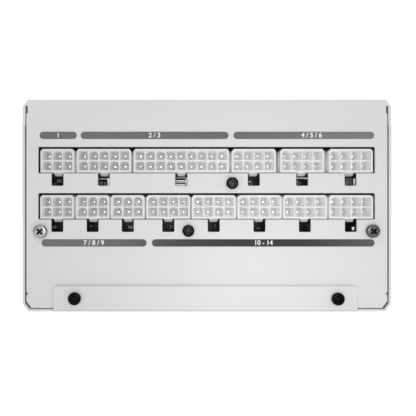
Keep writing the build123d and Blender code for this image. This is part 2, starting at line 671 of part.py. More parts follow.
def fan_screws():
    """Self-tapping screws through the grille's loops and the pan into the frame's corners."""
    bearing = PAN_DEPTH - 2 * WIRE_R
    screw = pan_screw(FAN_HEAD_R, bearing - FAN_SCREW_SINK, FAN_HOLE_R - FAN_SCREW_FIT, FAN_SCREW_LENGTH)
    return group([Pos(x, y, bearing) * Rot(180, 0, 0) * screw for x, y in fan_corners()])


def fan_frame():
    half_height = FAN_HEIGHT / 2
    frame = Pos(0, 0, half_height) * extrude(RectangleRounded(FAN_SIZE, FAN_SIZE, FAN_CORNER),
                                             amount=half_height, both=True)
    waist = Pos(0, 0, half_height) * (Box(FAN_SIZE + 2, FAN_SIZE + 2, FAN_HEIGHT - 2 * FAN_RIM)
                                      - Cylinder(FAN_BORE_R + FAN_WALL, FAN_HEIGHT))
    frame -= waist
    frame -= Pos(0, 0, half_height) * Cylinder(FAN_BORE_R, FAN_HEIGHT + 2)
    frame -= Pos(0, 0, FAN_MOUTH_H / 2) * Cone(FAN_MOUTH_R, FAN_BORE_R, FAN_MOUTH_H)
    frame += Pos(0, 0, FAN_HEIGHT - MOTOR_BASE / 2) * Cylinder(MOTOR_BASE_R, MOTOR_BASE)
    strut = block(STRUT_ROOT_R, FAN_BORE_R + FAN_WALL / 2, -STRUT_WIDTH / 2, STRUT_WIDTH / 2,
                  FAN_HEIGHT - MOTOR_BASE, FAN_HEIGHT)
    for number in range(STRUTS):
        frame += Rot(0, 0, STRUT_TURN + number * 360 / STRUTS) * strut
    tube_foot = FAN_HEIGHT - MOTOR_BASE
    frame += rod_z(0, 0, TUBE_R, STATOR_Z[0] - 1, tube_foot)
    frame -= rod_z(0, 0, BEARING_R, 0, tube_foot)
    frame = Pos(0, Y_FAN, Z_FAN) * frame
    for x, y in fan_corners():
        frame -= rod_z(x, y, FAN_HOLE_R, Z_FAN - 1, Z_FAN + FAN_HEIGHT + 1)
    return frame


def blade_section(radius, chord, pitch, sweep):
    """A thin arched section across the radius, to be lofted into a blade."""
    half = chord / 2
    rise = chord * BLADE_ARCH
    lower = ThreePointArc((-half, 0), (0, rise), (half, 0))
    upper = ThreePointArc((-half, BLADE_THICK), (0, rise + BLADE_THICK), (half, BLADE_THICK))
    ends = [Line((-half, 0), (-half, BLADE_THICK)), Line((half, 0), (half, BLADE_THICK))]
    face = make_face([lower, upper] + ends)
    plane = Plane(origin=(radius, 0, 0), x_dir=(0, 1, 0), z_dir=(1, 0, 0))
    return Rot(0, 0, sweep) * (plane * (Rot(0, 0, pitch) * Pos(0, -BLADE_THICK / 2) * face))


def blade():
    """One swept and twisted blade about the fan's axis."""
    return loft([blade_section(*section) for section in BLADE_SECTIONS])


def fan_rotor():
    hub = rod_z(0, 0, HUB_R, 0, HUB_HEIGHT)
    hub = fillet(hub.edges().sort_by(Axis.Z)[0], HUB_ROUND)
    hub -= rod_z(0, 0, HUB_R - HUB_WALL, HUB_WALL, HUB_HEIGHT + 1)
    hub += rod_z(0, 0, HUB_BOSS[0], HUB_WALL, HUB_WALL + HUB_BOSS[1])
    hub -= rod_z(0, 0, SHAFT_R, SHAFT_SEAT, HUB_HEIGHT)
    swept = rod_z(0, 0, BLADE_TIP_R, -HUB_HEIGHT, 2 * HUB_HEIGHT)
    swept -= rod_z(0, 0, HUB_R - HUB_WALL / 2, -HUB_HEIGHT - 1, 2 * HUB_HEIGHT + 1)
    one = (Pos(0, 0, HUB_HEIGHT / 2) * blade()) & swept
    for number in range(BLADES):
        hub += Rot(0, 0, number * 360 / BLADES) * one
    return Pos(0, Y_FAN, Z_FAN + HUB_LIFT) * hub


def fan_shaft():
    return rod_z(0, Y_FAN, SHAFT_R, Z_FAN + HUB_LIFT + SHAFT_SEAT,
                 Z_FAN + FAN_HEIGHT - MOTOR_BASE - SHAFT_END_GAP)


def fan_bearing():
    bottom = Z_FAN + STATOR_Z[0] - BEARING_PROUD
    top = Z_FAN + FAN_HEIGHT - MOTOR_BASE
    sleeve = rod_z(0, Y_FAN, BEARING_R, bottom, top)
    return sleeve - rod_z(0, Y_FAN, SHAFT_R + SHAFT_FIT, bottom - 1, top + 1)


def fan_stator():
    """Four-pole coil pack on the bearing tube."""
    stator = Cylinder(STATOR_R, STATOR_Z[1] - STATOR_Z[0])
    slot = Pos(STATOR_R - STATOR_SLOT[0] / 4, 0, 0) * Box(*STATOR_SLOT, FAN_HEIGHT)
    for number in range(POLES):
        stator -= Rot(0, 0, (number + 0.5) * 360 / POLES) * slot
    stator = Pos(0, Y_FAN, Z_FAN + (STATOR_Z[0] + STATOR_Z[1]) / 2) * stator
    return stator - rod_z(0, Y_FAN, TUBE_R, Z_FAN, Z_FAN + FAN_HEIGHT)


def air_baffle():
    """Plastic sheet that keeps the air off the socket end."""
    half = FAN_SIZE / 2
    z = Z_FAN + FAN_HEIGHT
    sheet = block(-half, half, Y_FAN - half, Y_FAN - half + BAFFLE_REACH, z, z + BAFFLE)
    for x, y in fan_corners():
        sheet -= rod_z(x, y, FAN_HOLE_R, z - 1, z + 1)
    return sheet


# ---- mains inlet and switch -----------------------------------------------
def inlet_outline(width, height, bevel):
    """The inlet's shape as (x, z), its two upper corners cut off."""
    face = Rectangle(width, height)
    return Pos(INLET_X, INLET_Z) * chamfer(face.vertices().group_by(Axis.Y)[-1], bevel)


def inlet_pin_places():
    return [(INLET_X - INLET_PIN_PITCH, INLET_Z - INLET_PIN_RISE),
            (INLET_X, INLET_Z + INLET_PIN_RISE),
            (INLET_X + INLET_PIN_PITCH, INLET_Z - INLET_PIN_RISE)]


def inlet_housing():
    flange = Pos(INLET_X, INLET_Z) * RectangleRounded(INLET_FLANGE[0], INLET_FLANGE[1], INLET_ROUND)
    housing = prism_y(flange, Y_REAR, Y_REAR + INLET_FLANGE[2])
    body = Pos(INLET_X, INLET_Z) * Rectangle(*INLET_BODY)
    housing += prism_y(body, Y_REAR - INLET_LENGTH, Y_REAR)
    mouth = Y_REAR + INLET_FLANGE[2]
    cavity = inlet_outline(INLET_CAVITY[0], INLET_CAVITY[1], INLET_BEVEL)
    housing -= prism_y(cavity, mouth - INLET_CAVITY[2], mouth + 1)
    for x, z in inlet_pin_places():
        housing -= block(x - INLET_PIN[0] / 2, x + INLET_PIN[0] / 2, Y_REAR - INLET_LENGTH - 1, Y_REAR,
                         z - INLET_PIN[1] / 2, z + INLET_PIN[1] / 2)
    return housing


def inlet_pins():
    """Line, earth and neutral blades, with tabs that reach the filter board."""
    tip = Y_REAR + INLET_FLANGE[2] - INLET_PIN_RECESS
    pins = []
    for x, z in inlet_pin_places():
        pin = block(x - INLET_PIN[0] / 2, x + INLET_PIN[0] / 2, Y_REAR - INLET_LENGTH - INLET_TAB, tip,
                    z - INLET_PIN[1] / 2, z + INLET_PIN[1] / 2)
        pins.append(chamfer(pin.faces().sort_by(Axis.Y)[-1].edges(), PIN_BEVEL))
    return group(pins)


def trunnion(radius, reach):
    """The rocker's pivot pin or its bearing hole, across the switch."""
    return rod_x(Y_REAR + ROCKER_PIVOT_OUT, INLET_Z, radius, SWITCH_X - reach, SWITCH_X + reach)


def switch_housing():
    flange = Pos(SWITCH_X, INLET_Z) * RectangleRounded(SWITCH_FLANGE[0], SWITCH_FLANGE[1], SWITCH_ROUND)
    housing = prism_y(flange, Y_REAR, Y_REAR + SWITCH_FLANGE[2])
    body = Pos(SWITCH_X, INLET_Z) * Rectangle(SWITCH_BODY[0], SWITCH_BODY[1])
    back = Y_REAR - SWITCH_BODY[2]
    housing += prism_y(body, back, Y_REAR)
    half_width = ROCKER_HALF_WIDTH + ROCKER_ROOM[0]
    half_length = ROCKER_HALF_LENGTH + ROCKER_ROOM[1]
    housing -= centred(SWITCH_X, Y_REAR, 2 * half_width, 2 * SWITCH_OPENING_DEPTH,
                       INLET_Z - half_length, INLET_Z + half_length)
    housing -= trunnion(TRUNNION_R + TRUNNION_FIT, SWITCH_BODY[0] / 2)
    width, length, thick = SWITCH_TAB
    for z in (INLET_Z - SWITCH_TAB_Z, INLET_Z + SWITCH_TAB_Z):
        housing += centred(SWITCH_X, back - length / 2, width, length, z - thick / 2, z + thick / 2)
    return housing


def switch_rocker():
    """The rocker with its upper end pressed, and the pins that it turns on."""
    end = ROCKER_HALF_LENGTH
    inner, underside, half = ROCKER_SKIRT
    side = polygon((ROCKER_VALLEY, 0), (ROCKER_END, end), (inner, end), (underside, half),
                   (underside, -half), (inner, -end), (ROCKER_END, -end))
    rocker = prism_x(side, -ROCKER_HALF_WIDTH, ROCKER_HALF_WIDTH)
    rocker = Pos(SWITCH_X, Y_REAR + ROCKER_PIVOT_OUT, INLET_Z) * Rot(ROCKER_TILT, 0, 0) * rocker
    return rocker + trunnion(TRUNNION_R, TRUNNION_REACH)


def mains_wires():
    """Three sleeved wires from the switch and the filter board up to the main board."""
    tab_y = Y_REAR - SWITCH_BODY[2] - SWITCH_TAB[1]
    wires = []
    for x, rise in ((SWITCH_X, -SWITCH_TAB_Z), (SWITCH_X, SWITCH_TAB_Z), (SWITCH_X - SWITCH_TAB[1], 0.0)):
        z = INLET_Z + rise
        bend_y = tab_y - WIRE_RUN - rise * WIRE_STAGGER
        path = FilletPolyline((x, tab_y, z), (x, bend_y, z), (x, bend_y, Z_BOARD), radius=WIRE_BEND)
        section = Plane(origin=(x, tab_y, z), z_dir=(0, -1, 0)) * Circle(WIRE_SLEEVE_R)
        wires.append(sweep(section, path=path))
    return group(wires)


# ---- inside the casing ----------------------------------------------------
def main_board():
    board = block(-MAIN_HALF_WIDTH, MAIN_HALF_WIDTH, MAIN_Y[0], MAIN_Y[1], Z_BOARD, Z_BOARD + BOARD)
    for x, y in STANDOFFS:
        board -= rod_z(x, y, M3_R, Z_BOARD - 1, Z_BOARD + BOARD + 1)
    return board


def board_standoffs():
    """Studs pressed into the top plate, which the main board is screwed to."""
    studs = []
    shoulder = HEIGHT - SHEET
    for x, y in STANDOFFS:
        stud = rod_z(x, y, STANDOFF_R, Z_BOARD + BOARD, shoulder)
        stud += rod_z(x, y, STANDOFF_HEAD_R, shoulder, HEIGHT - STANDOFF_SINK)
        studs.append(stud - rod_z(x, y, M3_R, Z_BOARD, shoulder - STANDOFF_BORE_TOP))
    return group(studs)


def board_screws():
    screw = pan_screw(PAN_HEAD_R, length=BOARD_SCREW_LENGTH)
    return group([Pos(x, y, Z_BOARD) * Rot(180, 0, 0) * screw for x, y in STANDOFFS])


def insulation_sheet():
    """Film between the board's solder side and the top plate."""
    top = HEIGHT - SHEET
    film = block(-MAIN_HALF_WIDTH, MAIN_HALF_WIDTH, MAIN_Y[0], MAIN_Y[1], top - FILM, top)
    for x, y in STANDOFFS:
        film -= rod_z(x, y, STANDOFF_R + FILM_ROOM, top - 2 * FILM, top + FILM)
    return film


def can_capacitor(x, y, radius, height):
    """An electrolytic can hanging from the board, with a rolled groove and a scored end."""
    low = Z_BOARD - height
    can = rod_z(x, y, radius, low, Z_BOARD)
    can = fillet(can.edges().sort_by(Axis.Z)[0], radius * CAN_ROUND)
    groove_z = Z_BOARD - height * CAN_GROOVE_PLACE
    can -= Pos(x, y, groove_z) * Torus(radius + CAN_SCORE * CAN_GROOVE, CAN_GROOVE)
    for turn in (0, 60, 120):
        can -= Pos(x, y, low) * Rot(0, 0, turn) * Box(radius, CAN_SCORE, CAN_SCORE)
    return can


def toroid_core(radius, bore, length):
    return Cylinder(radius, length) - Cylinder(bore, length + 1)


def toroid_winding(radius, bore, length, turns, wire):
    """Turns of thick wire wrapped round a toroid, as closed loops about the core."""
    loop_w = radius - bore + 2 * wire
    loop_h = length + 2 * wire
    outer = RectangleRounded(loop_w + wire, loop_h + wire, wire * 1.4)
    inner = RectangleRounded(loop_w - wire, loop_h - wire, wire * 0.5)
    loop = Pos((radius + bore) / 2, 0, 0) * extrude(Plane.XZ * (outer - inner), amount=wire / 2, both=True)
    return [Rot(0, 0, number * 360 / turns) * loop for number in range(turns)]


def pfc_place():
    """The power-factor choke lies flat under the board."""
    _, _, length, _, wire = PFC_CHOKE
    return Pos(*PFC_CHOKE_XY, Z_BOARD - length / 2 - LEAD_ROOM * wire)


def pfc_choke_core():
    return pfc_place() * toroid_core(*PFC_CHOKE[:3])


def pfc_choke_winding():
    return group([pfc_place() * loop for loop in toroid_winding(*PFC_CHOKE)])


def small_choke(xy, choke):
    """A small choke, core and winding in one, standing on edge under the board."""
    radius, bore, length, turns, wire = choke
    place = Pos(*xy, Z_BOARD - radius - LEAD_ROOM * wire) * Rot(90, 0, 0)
    loops = [place * loop for loop in toroid_winding(radius, bore, length - wire, turns, wire)]
    return place * toroid_core(radius, bore, length) + loops


def line_chokes():
    return group([small_choke(*choke) for choke in LINE_CHOKES])


def output_chokes():
    return group([small_choke(*choke) for choke in OUTPUT_CHOKES])


def heatsink(x, y0, y1, fin_side):
    """An extruded plate along Y with fins on one side."""
    sink = block(x - SINK_PLATE / 2, x + SINK_PLATE / 2, y0, y1, SINK_LOW, Z_BOARD)
    near, far = sorted((x + fin_side * SINK_PLATE / 2, x + fin_side * (SINK_PLATE / 2 + SINK_FIN[0])))
    low, high = SINK_LOW + SINK_FIN_Z[0], Z_BOARD - SINK_FIN_Z[1]
    for number in range(SINK_FINS):
        z = low + number * (high - low) / (SINK_FINS - 1)
        sink += block(near, far, y0, y1, z, z + SINK_FIN[1])
    return sink


def primary_transistors():
    """Power transistors bolted to the plain side of the primary heatsink."""
    face = PRIMARY_SINK[0] - SINK_PLATE / 2
    thick, width = TRANSISTOR
    middle = face - thick / 2
    bodies = []
    for y in TRANSISTOR_Y:
        body = block(face - thick, face, y - width / 2, y + width / 2, *TRANSISTOR_Z)
        for step in (-1, 0, 1):
            body += centred(middle, y + step * LEAD_PITCH, LEAD, LEAD, TRANSISTOR_Z[1], Z_BOARD)
        bodies.append(body)
    return group(bodies)


def bridge_rectifier():
    body = block(*RECTIFIER_X, *RECTIFIER_Y, *RECTIFIER_Z)
    middle = sum(RECTIFIER_X) / 2
    leads = [centred(middle, y, *RECTIFIER_LEAD, RECTIFIER_Z[1], Z_BOARD) for y in RECTIFIER_LEAD_Y]
    return body + leads


def transformer_core():
    """Two ferrite E halves around the winding."""
    x, y = CORE_XY
    low, high = CORE_Z
    core = centred(x, y, *CORE, low, high)
    window = centred(x, y, CORE[0] + 1, 2 * (COIL_R + COIL_ROOM), low + CORE_YOKE, high - CORE_YOKE)
    return core - window + rod_z(x, y, CORE_LEG_R, low, high)


def transformer_winding():
    """The taped coil on the core's round leg."""
    x, y = CORE_XY
    low = CORE_Z[0] + CORE_YOKE + COIL_ROOM
    high = CORE_Z[1] - CORE_YOKE - COIL_ROOM
    return rod_z(x, y, COIL_R, low, high) - rod_z(x, y, CORE_LEG_R, low - 1, high + 1)


def transformer_feet():
    """The bobbin's pin rails, which hold the core on the board."""
    x, y = CORE_XY
    return group([centred(x, y + side * FOOT_Y, *FOOT, CORE_Z[1], Z_BOARD) for side in (-1, 1)])


def standby_transformer():
    x, y = STANDBY_XY
    across, along, reach, feet = STANDBY_CORE
    core = centred(x, y, across, along, Z_BOARD - reach, Z_BOARD - feet)
    across, along, low, high = STANDBY_COIL
    coil = centred(x, y, across, along, Z_BOARD - low, Z_BOARD - high)
    return core + coil + centred(x, y, STANDBY_FOOT, STANDBY_FOOT, Z_BOARD - feet, Z_BOARD)


def x_capacitor():
    """Film capacitor on the filter board."""
    width, depth = X_CAPACITOR
    body = centred(INLET_X, FILTER_BOARD_Y[0] - depth / 2, width, depth,
                   INLET_Z + X_CAPACITOR_Z[0], INLET_Z + X_CAPACITOR_Z[1])
    return fillet(body.edges().filter_by(Axis.Y), X_CAPACITOR_ROUND)


def emi_board():
    """Small filter board soldered to the inlet's tabs."""
    return block(INLET_X + FILTER_BOARD_X[0], INLET_X + FILTER_BOARD_X[1], *FILTER_BOARD_Y,
                 INLET_Z + FILTER_BOARD_Z[0], INLET_Z + FILTER_BOARD_Z[1])


def output_capacitors():
    """Solid capacitors in two rows behind the sockets."""
    return group([can_capacitor(x, y, *OUTPUT_CAN) for y in OUTPUT_CAN_Y for x in OUTPUT_CAN_X])


def converter_board():
    """Upright board of the low-voltage converters, with its chokes."""
    back = CONVERTER_Y + BOARD
    board = block(*CONVERTER_X, CONVERTER_Y, back, CONVERTER_LOW, Z_BOARD)
    width, depth = CONVERTER_CHOKE
    for x in CONVERTER_CHOKE_X:
        board += block(x - width / 2, x + width / 2, back, back + depth, *CONVERTER_CHOKE_Z)
    return board


def control_board():
    """Upright board of the supervisor circuit."""
    board = block(CONTROL_X, CONTROL_X + BOARD, *CONTROL_Y, CONTROL_LOW, Z_BOARD)
    height, side = CONTROL_CHIP
    for y in CONTROL_CHIP_Y:
        board += block(CONTROL_X - height, CONTROL_X, y, y + side, CONTROL_CHIP_LOW, CONTROL_CHIP_LOW + side)
    return board


def parts():
    nodes = {
        "base_shell": base_shell(),
        "fan_cover": fan_cover(),
        "flap_screws": front_screws(FLAP_SCREWS, Y_FRONT, FLAP_HEAD_R, FLAP_SCREW_TURN),
        "panel_screws_black": front_screws(BLACK_SCREWS, Y_PANEL, BLACK_HEAD_R, BLACK_SCREW_TURN),
        "panel_screws_silver": front_screws(SILVER_SCREWS, Y_PANEL, PAN_HEAD_R, SILVER_SCREW_TURN),
        "side_screws": side_screws(),
        "fan_grille": fan_grille(),
        "fan_screws": fan_screws(),
        "fan_frame": fan_frame(),
        "fan_rotor": fan_rotor(),
        "fan_shaft": fan_shaft(),
        "fan_bearing": fan_bearing(),
        "fan_stator": fan_stator(),
        "air_baffle": air_baffle(),
        "socket_pins": socket_pins(),
        "modular_board": modular_board(),
        "modular_spacers": modular_spacers(),
        "bus_bars": bus_bars(),
        "inlet_housing": inlet_housing(),
        "inlet_pins": inlet_pins(),
        "switch_housing": switch_housing(),
        "switch_rocker": switch_rocker(),
        "mains_wires": mains_wires(),
        "main_board": main_board(),
        "board_standoffs": board_standoffs(),
        "board_screws": board_screws(),
        "insulation_sheet": insulation_sheet(),
        "emi_board": emi_board(),
        "x_capacitor": x_capacitor(),
        "line_chokes": line_chokes(),
        "bridge_rectifier": bridge_rectifier(),
        "pfc_choke_core": pfc_choke_core(),
        "pfc_choke_winding": pfc_choke_winding(),
        "bulk_capacitor_1": can_capacitor(*BULK_CANS[0], *BULK_CAN),
        "bulk_capacitor_2": can_capacitor(*BULK_CANS[1], *BULK_CAN),
        "primary_heatsink": heatsink(*PRIMARY_SINK, 1),
        "primary_transistors": primary_transistors(),
        "transformer_core": transformer_core(),
        "transformer_winding": transformer_winding(),
        "transformer_feet": transformer_feet(),
        "standby_transformer": standby_transformer(),
        "secondary_heatsink": heatsink(*SECONDARY_SINK, -1),
        "output_capacitors": output_capacitors(),
        "output_chokes": output_chokes(),
        "converter_board": converter_board(),
        "control_board": control_board(),
    }
    for name, row, z in all_rows():
        for number, (columns, x) in enumerate(row, start=1):
            nodes[f"socket_{name}_{number}"] = socket(columns, x, z)
    return nodes


os.makedirs("parts", exist_ok=True)
for node, shape in parts().items():
    export_step(shape, f"parts/{node}.step")
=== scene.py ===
import json
import math

import bmesh
import bpy
from mathutils import Matrix, Vector


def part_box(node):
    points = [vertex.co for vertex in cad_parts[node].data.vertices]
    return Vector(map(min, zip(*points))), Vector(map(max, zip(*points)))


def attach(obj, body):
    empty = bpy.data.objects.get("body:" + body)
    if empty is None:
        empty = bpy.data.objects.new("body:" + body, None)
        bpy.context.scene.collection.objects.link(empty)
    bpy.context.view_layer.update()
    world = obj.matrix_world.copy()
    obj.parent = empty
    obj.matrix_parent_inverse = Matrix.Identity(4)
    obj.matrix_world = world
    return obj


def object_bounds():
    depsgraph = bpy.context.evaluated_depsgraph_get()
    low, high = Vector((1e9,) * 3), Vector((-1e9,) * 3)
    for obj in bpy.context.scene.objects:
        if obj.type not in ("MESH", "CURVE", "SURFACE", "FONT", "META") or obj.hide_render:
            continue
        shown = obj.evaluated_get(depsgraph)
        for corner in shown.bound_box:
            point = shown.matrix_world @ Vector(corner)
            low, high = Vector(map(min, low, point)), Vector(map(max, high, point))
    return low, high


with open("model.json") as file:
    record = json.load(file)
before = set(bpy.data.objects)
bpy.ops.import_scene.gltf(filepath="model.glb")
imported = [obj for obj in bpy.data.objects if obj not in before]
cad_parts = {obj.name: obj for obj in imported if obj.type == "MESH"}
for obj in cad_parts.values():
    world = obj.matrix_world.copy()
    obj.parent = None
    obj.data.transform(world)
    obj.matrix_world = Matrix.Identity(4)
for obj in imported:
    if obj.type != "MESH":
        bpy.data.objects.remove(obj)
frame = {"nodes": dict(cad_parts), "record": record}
cad_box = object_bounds()

MM = 0.001
nodes = frame["nodes"]


def corners(node):
    """A CAD node's lowest and highest corners, in millimetres."""
    low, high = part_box(node)
    return low / MM, high / MM


# ---- places, in millimetres ----------------------------------------------------
PANEL_Y = corners("base_shell")[0].y         # the socket panel's outer face
BOARD_Y = corners("modular_board")[0].y
WINDOW_TOP = {"upper": 56.2, "lower": 37.4}  # the lower edge of each row of sockets
HALF_PANEL = 70                              # how far tones along the panel reach each way


def even(grey):
    """The stops of a grey that stays the same all along the panel."""
    return [(-HALF_PANEL, grey), (HALF_PANEL, grey)]


# ---- camera -------------------------------------------------------------------
CAMERA_X = -12.4                   # the lens axis meets the panel left of its middle
CAMERA_Z = 42.05
CAMERA_DISTANCE = 215.0            # from the socket panel
SENSOR = 36.0                      # the sensor's width
VIEW_WIDTH = 169.2433              # how much of the panel's plane the camera sees
VIEW_MIDDLE_X = 0.45
NEAREST = 0.01                     # metres from the lens to the first thing it sees


def add_camera():
    data = bpy.data.cameras.new("camera")
    data.sensor_width = SENSOR
    data.lens = SENSOR * CAMERA_DISTANCE / VIEW_WIDTH
    data.shift_x = (VIEW_MIDDLE_X - CAMERA_X) / VIEW_WIDTH
    data.clip_start = NEAREST
    camera = bpy.data.objects.new("camera", data)
    camera.location = Vector((CAMERA_X, PANEL_Y - CAMERA_DISTANCE, CAMERA_Z)) * MM
    camera.rotation_euler = (math.radians(90), 0, 0)
    bpy.context.scene.collection.objects.link(camera)
    bpy.context.scene.camera = camera


# ---- node helpers -------------------------------------------------------------
NOISE_BAND = (0.3, 0.7)            # the values that noise mostly takes
BLACK = (0.0, 0.0, 0.0)
CREVICE_SHADE = (0.01, 0.01, 0.01)          # the colour of the painted shade in crevices, gaps and recesses


class Surface:
    """A procedural material built on one Principled shader."""

    def __init__(self, name, color, roughness, metallic=0.0):
        self.material = bpy.data.materials.new(name)
        self.material.use_nodes = True
        self.tree = self.material.node_tree
        self.shader = self.tree.nodes["Principled BSDF"]
        self.shader.inputs["Metallic"].default_value = metallic
        self.color = color
        self.roughness = roughness
        self.shader.inputs["Base Color"].default_value = (*color, 1)
        self.shader.inputs["Roughness"].default_value = roughness
        self.place = self.node("ShaderNodeTexCoord").outputs["Object"]

    def node(self, kind, **settings):
        made = self.tree.nodes.new(kind)
        for key, value in settings.items():
            setattr(made, key, value)
        return made

    def link(self, source, target):
        self.tree.links.new(source, target)

    def set(self, **values):
        """Uniform values, straight on the shader's sockets."""
        for key, value in values.items():
            self.shader.inputs[key.replace("_", " ")].default_value = value
        return self

    def stretched(self, scale):
        mapping = self.node("ShaderNodeMapping")
        mapping.inputs["Scale"].default_value = scale
        self.link(self.place, mapping.inputs["Vector"])
        return mapping.outputs["Vector"]

    def noise(self, scale, detail=3.0, roughness=0.5, stretch=None):
        made = self.node("ShaderNodeTexNoise")
        made.inputs["Scale"].default_value = scale
        made.inputs["Detail"].default_value = detail
        made.inputs["Roughness"].default_value = roughness
        self.link(self.stretched(stretch) if stretch else self.place, made.inputs["Vector"])
        return made.outputs["Fac"]

    def ramp(self, source, low, high, from_color, to_color):
        made = self.node("ShaderNodeValToRGB")
        first, last = made.color_ramp.elements
        first.position = low
        last.position = high
        first.color = (*from_color, 1)
        last.color = (*to_color, 1)
        self.link(source, made.inputs["Fac"])
        return made.outputs["Color"]

    def range(self, source, low, high, to_low, to_high):
        made = self.node("ShaderNodeMapRange")
        made.inputs["From Min"].default_value = low
        made.inputs["From Max"].default_value = high
        made.inputs["To Min"].default_value = to_low
        made.inputs["To Max"].default_value = to_high
        self.link(source, made.inputs["Value"])
        return made.outputs["Result"]

    def mix(self, factor, first, second):
        """Two colours (sockets or tuples) mixed by a factor socket."""
        made = self.node("ShaderNodeMix", data_type="RGBA")
        self.link(factor, made.inputs["Factor"])
        for value, socket in ((first, made.inputs["A"]), (second, made.inputs["B"])):
            if isinstance(value, tuple):
                socket.default_value = (*value, 1)
            else:
                self.link(value, socket)
        return made.outputs["Result"]

    def mottled(self, scale, spread):
        """The base colour, varied a little by noise."""
        darker = tuple(c * (1 - spread) for c in self.color)
        lighter = tuple(min(1.0, c * (1 + spread)) for c in self.color)
        return self.ramp(self.noise(scale), *NOISE_BAND, darker, lighter)

    def rough_noise(self, scale, spread):
        """The roughness, varied a little by noise."""
        source = self.noise(scale)
        result = self.range(source, *NOISE_BAND, self.roughness - spread, self.roughness + spread)
        self.link(result, self.shader.inputs["Roughness"])

    def bump(self, height, strength, distance, normal=None):
        made = self.node("ShaderNodeBump")
        made.inputs["Strength"].default_value = strength
        made.inputs["Distance"].default_value = distance
        self.link(height, made.inputs["Height"])
        if normal:
            self.link(normal, made.inputs["Normal"])
        return made.outputs["Normal"]

    def bevel(self, radius):
        made = self.node("ShaderNodeBevel", samples=4)
        made.inputs["Radius"].default_value = radius
        return made.outputs["Normal"]

    def edge_mask(self, bevel_normal, low=0.02, high=0.25):
        """1 along sharp edges, 0 on flat faces."""
        geometry = self.node("ShaderNodeNewGeometry")
        dot = self.node("ShaderNodeVectorMath", operation="DOT_PRODUCT")
        self.link(bevel_normal, dot.inputs[0])
        self.link(geometry.outputs["Normal"], dot.inputs[1])
        return self.range(dot.outputs["Value"], 1 - low, 1 - high, 0.0, 1.0)

    def crevices(self, tone, reach, depth, enclosed=0.35, open_to=0.95):
        """A tone made darker where the surface is enclosed: painted shade."""
        open_air = self.node("ShaderNodeAmbientOcclusion", samples=8)
        open_air.inputs["Distance"].default_value = reach
        shade = self.range(open_air.outputs["AO"], enclosed, open_to, 1.0, 0.0)
        strength = self.node("ShaderNodeMath", operation="MULTIPLY")
        self.link(shade, strength.inputs[0])
        strength.inputs[1].default_value = depth
        return self.mix(strength.outputs["Value"], tone, CREVICE_SHADE)

    def along(self, axis, stops, blend="CARDINAL"):
        """A grey that changes along one axis: (place in mm, grey) pairs, in order."""
        split = self.node("ShaderNodeSeparateXYZ")
        self.link(self.place, split.inputs[0])
        low, high = stops[0][0], stops[-1][0]
        share = self.range(split.outputs[axis], low * MM, high * MM, 0.0, 1.0)
        made = self.node("ShaderNodeValToRGB")
        made.color_ramp.interpolation = blend
        elements = made.color_ramp.elements
        while len(elements) < len(stops):
            elements.new(0.5)
        for element, (place, grey) in zip(elements, stops):
            element.position = (place - low) / (high - low)
            element.color = (grey, grey, grey, 1)
        self.link(share, made.inputs["Fac"])
        return made.outputs["Color"]

    def color_from(self, socket):
        self.link(socket, self.shader.inputs["Base Color"])

    def normal_from(self, socket):
        self.link(socket, self.shader.inputs["Normal"])


EDGE_HIGHLIGHT = 1.12                 # painted highlight: how much lighter the paint is on an edge than on a face
PAINT_RIM = 0.0004                 # how far paint rounds an edge, in metres
PEEL_DEPTH = 0.000035              # of the paint's orange peel
GAP_REACH = 0.0014                 # the width of the gaps darkened with painted shade
UNDERSIDE_SHADE = 0.36             # painted shade: how much darker the paint is where it faces down


def powder_coat(name, color, roughness=0.42, grain=1400.0):
    """Sprayed and baked paint: fine orange peel, with painted highlights on its edges and painted shade in
    its gaps and on its underside.
    """
    s = Surface(name, color, roughness)
    rounded = s.bevel(PAINT_RIM)
    peel = s.noise(grain, 2.0, 0.4)
    uneven = s.noise(260.0, 4.0, 0.6)
    # painted highlight along the edges, uneven by noise
    edge_highlight = s.node("ShaderNodeMath", operation="MULTIPLY")
    s.link(s.edge_mask(rounded), edge_highlight.inputs[0])
    s.link(s.range(uneven, 0.35, 0.75, 0.5, 1.0), edge_highlight.inputs[1])
    highlight_tone = tuple(min(1.0, c * EDGE_HIGHLIGHT) for c in color)
    coat = s.mix(edge_highlight.outputs["Value"], s.mottled(45.0, 0.012), highlight_tone)
    # painted shade on faces that point down
    split = s.node("ShaderNodeSeparateXYZ")
    s.link(s.node("ShaderNodeNewGeometry").outputs["Normal"], split.inputs[0])
    below = s.range(split.outputs["Z"], -0.9, -0.2, UNDERSIDE_SHADE, 0.0)
    coat = s.mix(below, coat, BLACK)
    # painted shade in the gaps between and around parts
    s.color_from(s.crevices(coat, GAP_REACH, depth=0.96, enclosed=0.08, open_to=0.50))
    s.rough_noise(180.0, 0.04)
    s.normal_from(s.bump(peel, strength=0.35, distance=PEEL_DEPTH, normal=rounded))
    return s.material


def moulded(name, color, roughness=0.45, grain=2600.0, depth=0.00002, rim=0.0003, spread=0.03,
            glow=0.0):
    """Moulded plastic with a fine spark-eroded grain, which may have a painted glow."""
    s = Surface(name, color, roughness)
    rounded = s.bevel(rim)
    s.color_from(s.mottled(320.0, spread))
    s.rough_noise(900.0, 0.06)
    s.normal_from(s.bump(s.noise(grain, 2.0), strength=0.4, distance=depth, normal=rounded))
    # a painted glow, where one is given
    return s.set(Emission_Color=(1, 1, 1, 1), Emission_Strength=glow).material


SOCKET_PROUD = 0.3                 # how far the sockets stand out of the panel
# the nylon's tone across the panel, with painted shade towards its ends, most on the left
NYLON_SHADE_ACROSS = [(-HALF_PANEL, 0.90), (-45, 0.91), (-28, 0.935), (-10, 0.96), (10, 0.985),
                (45, 0.975), (HALF_PANEL, 0.96)]
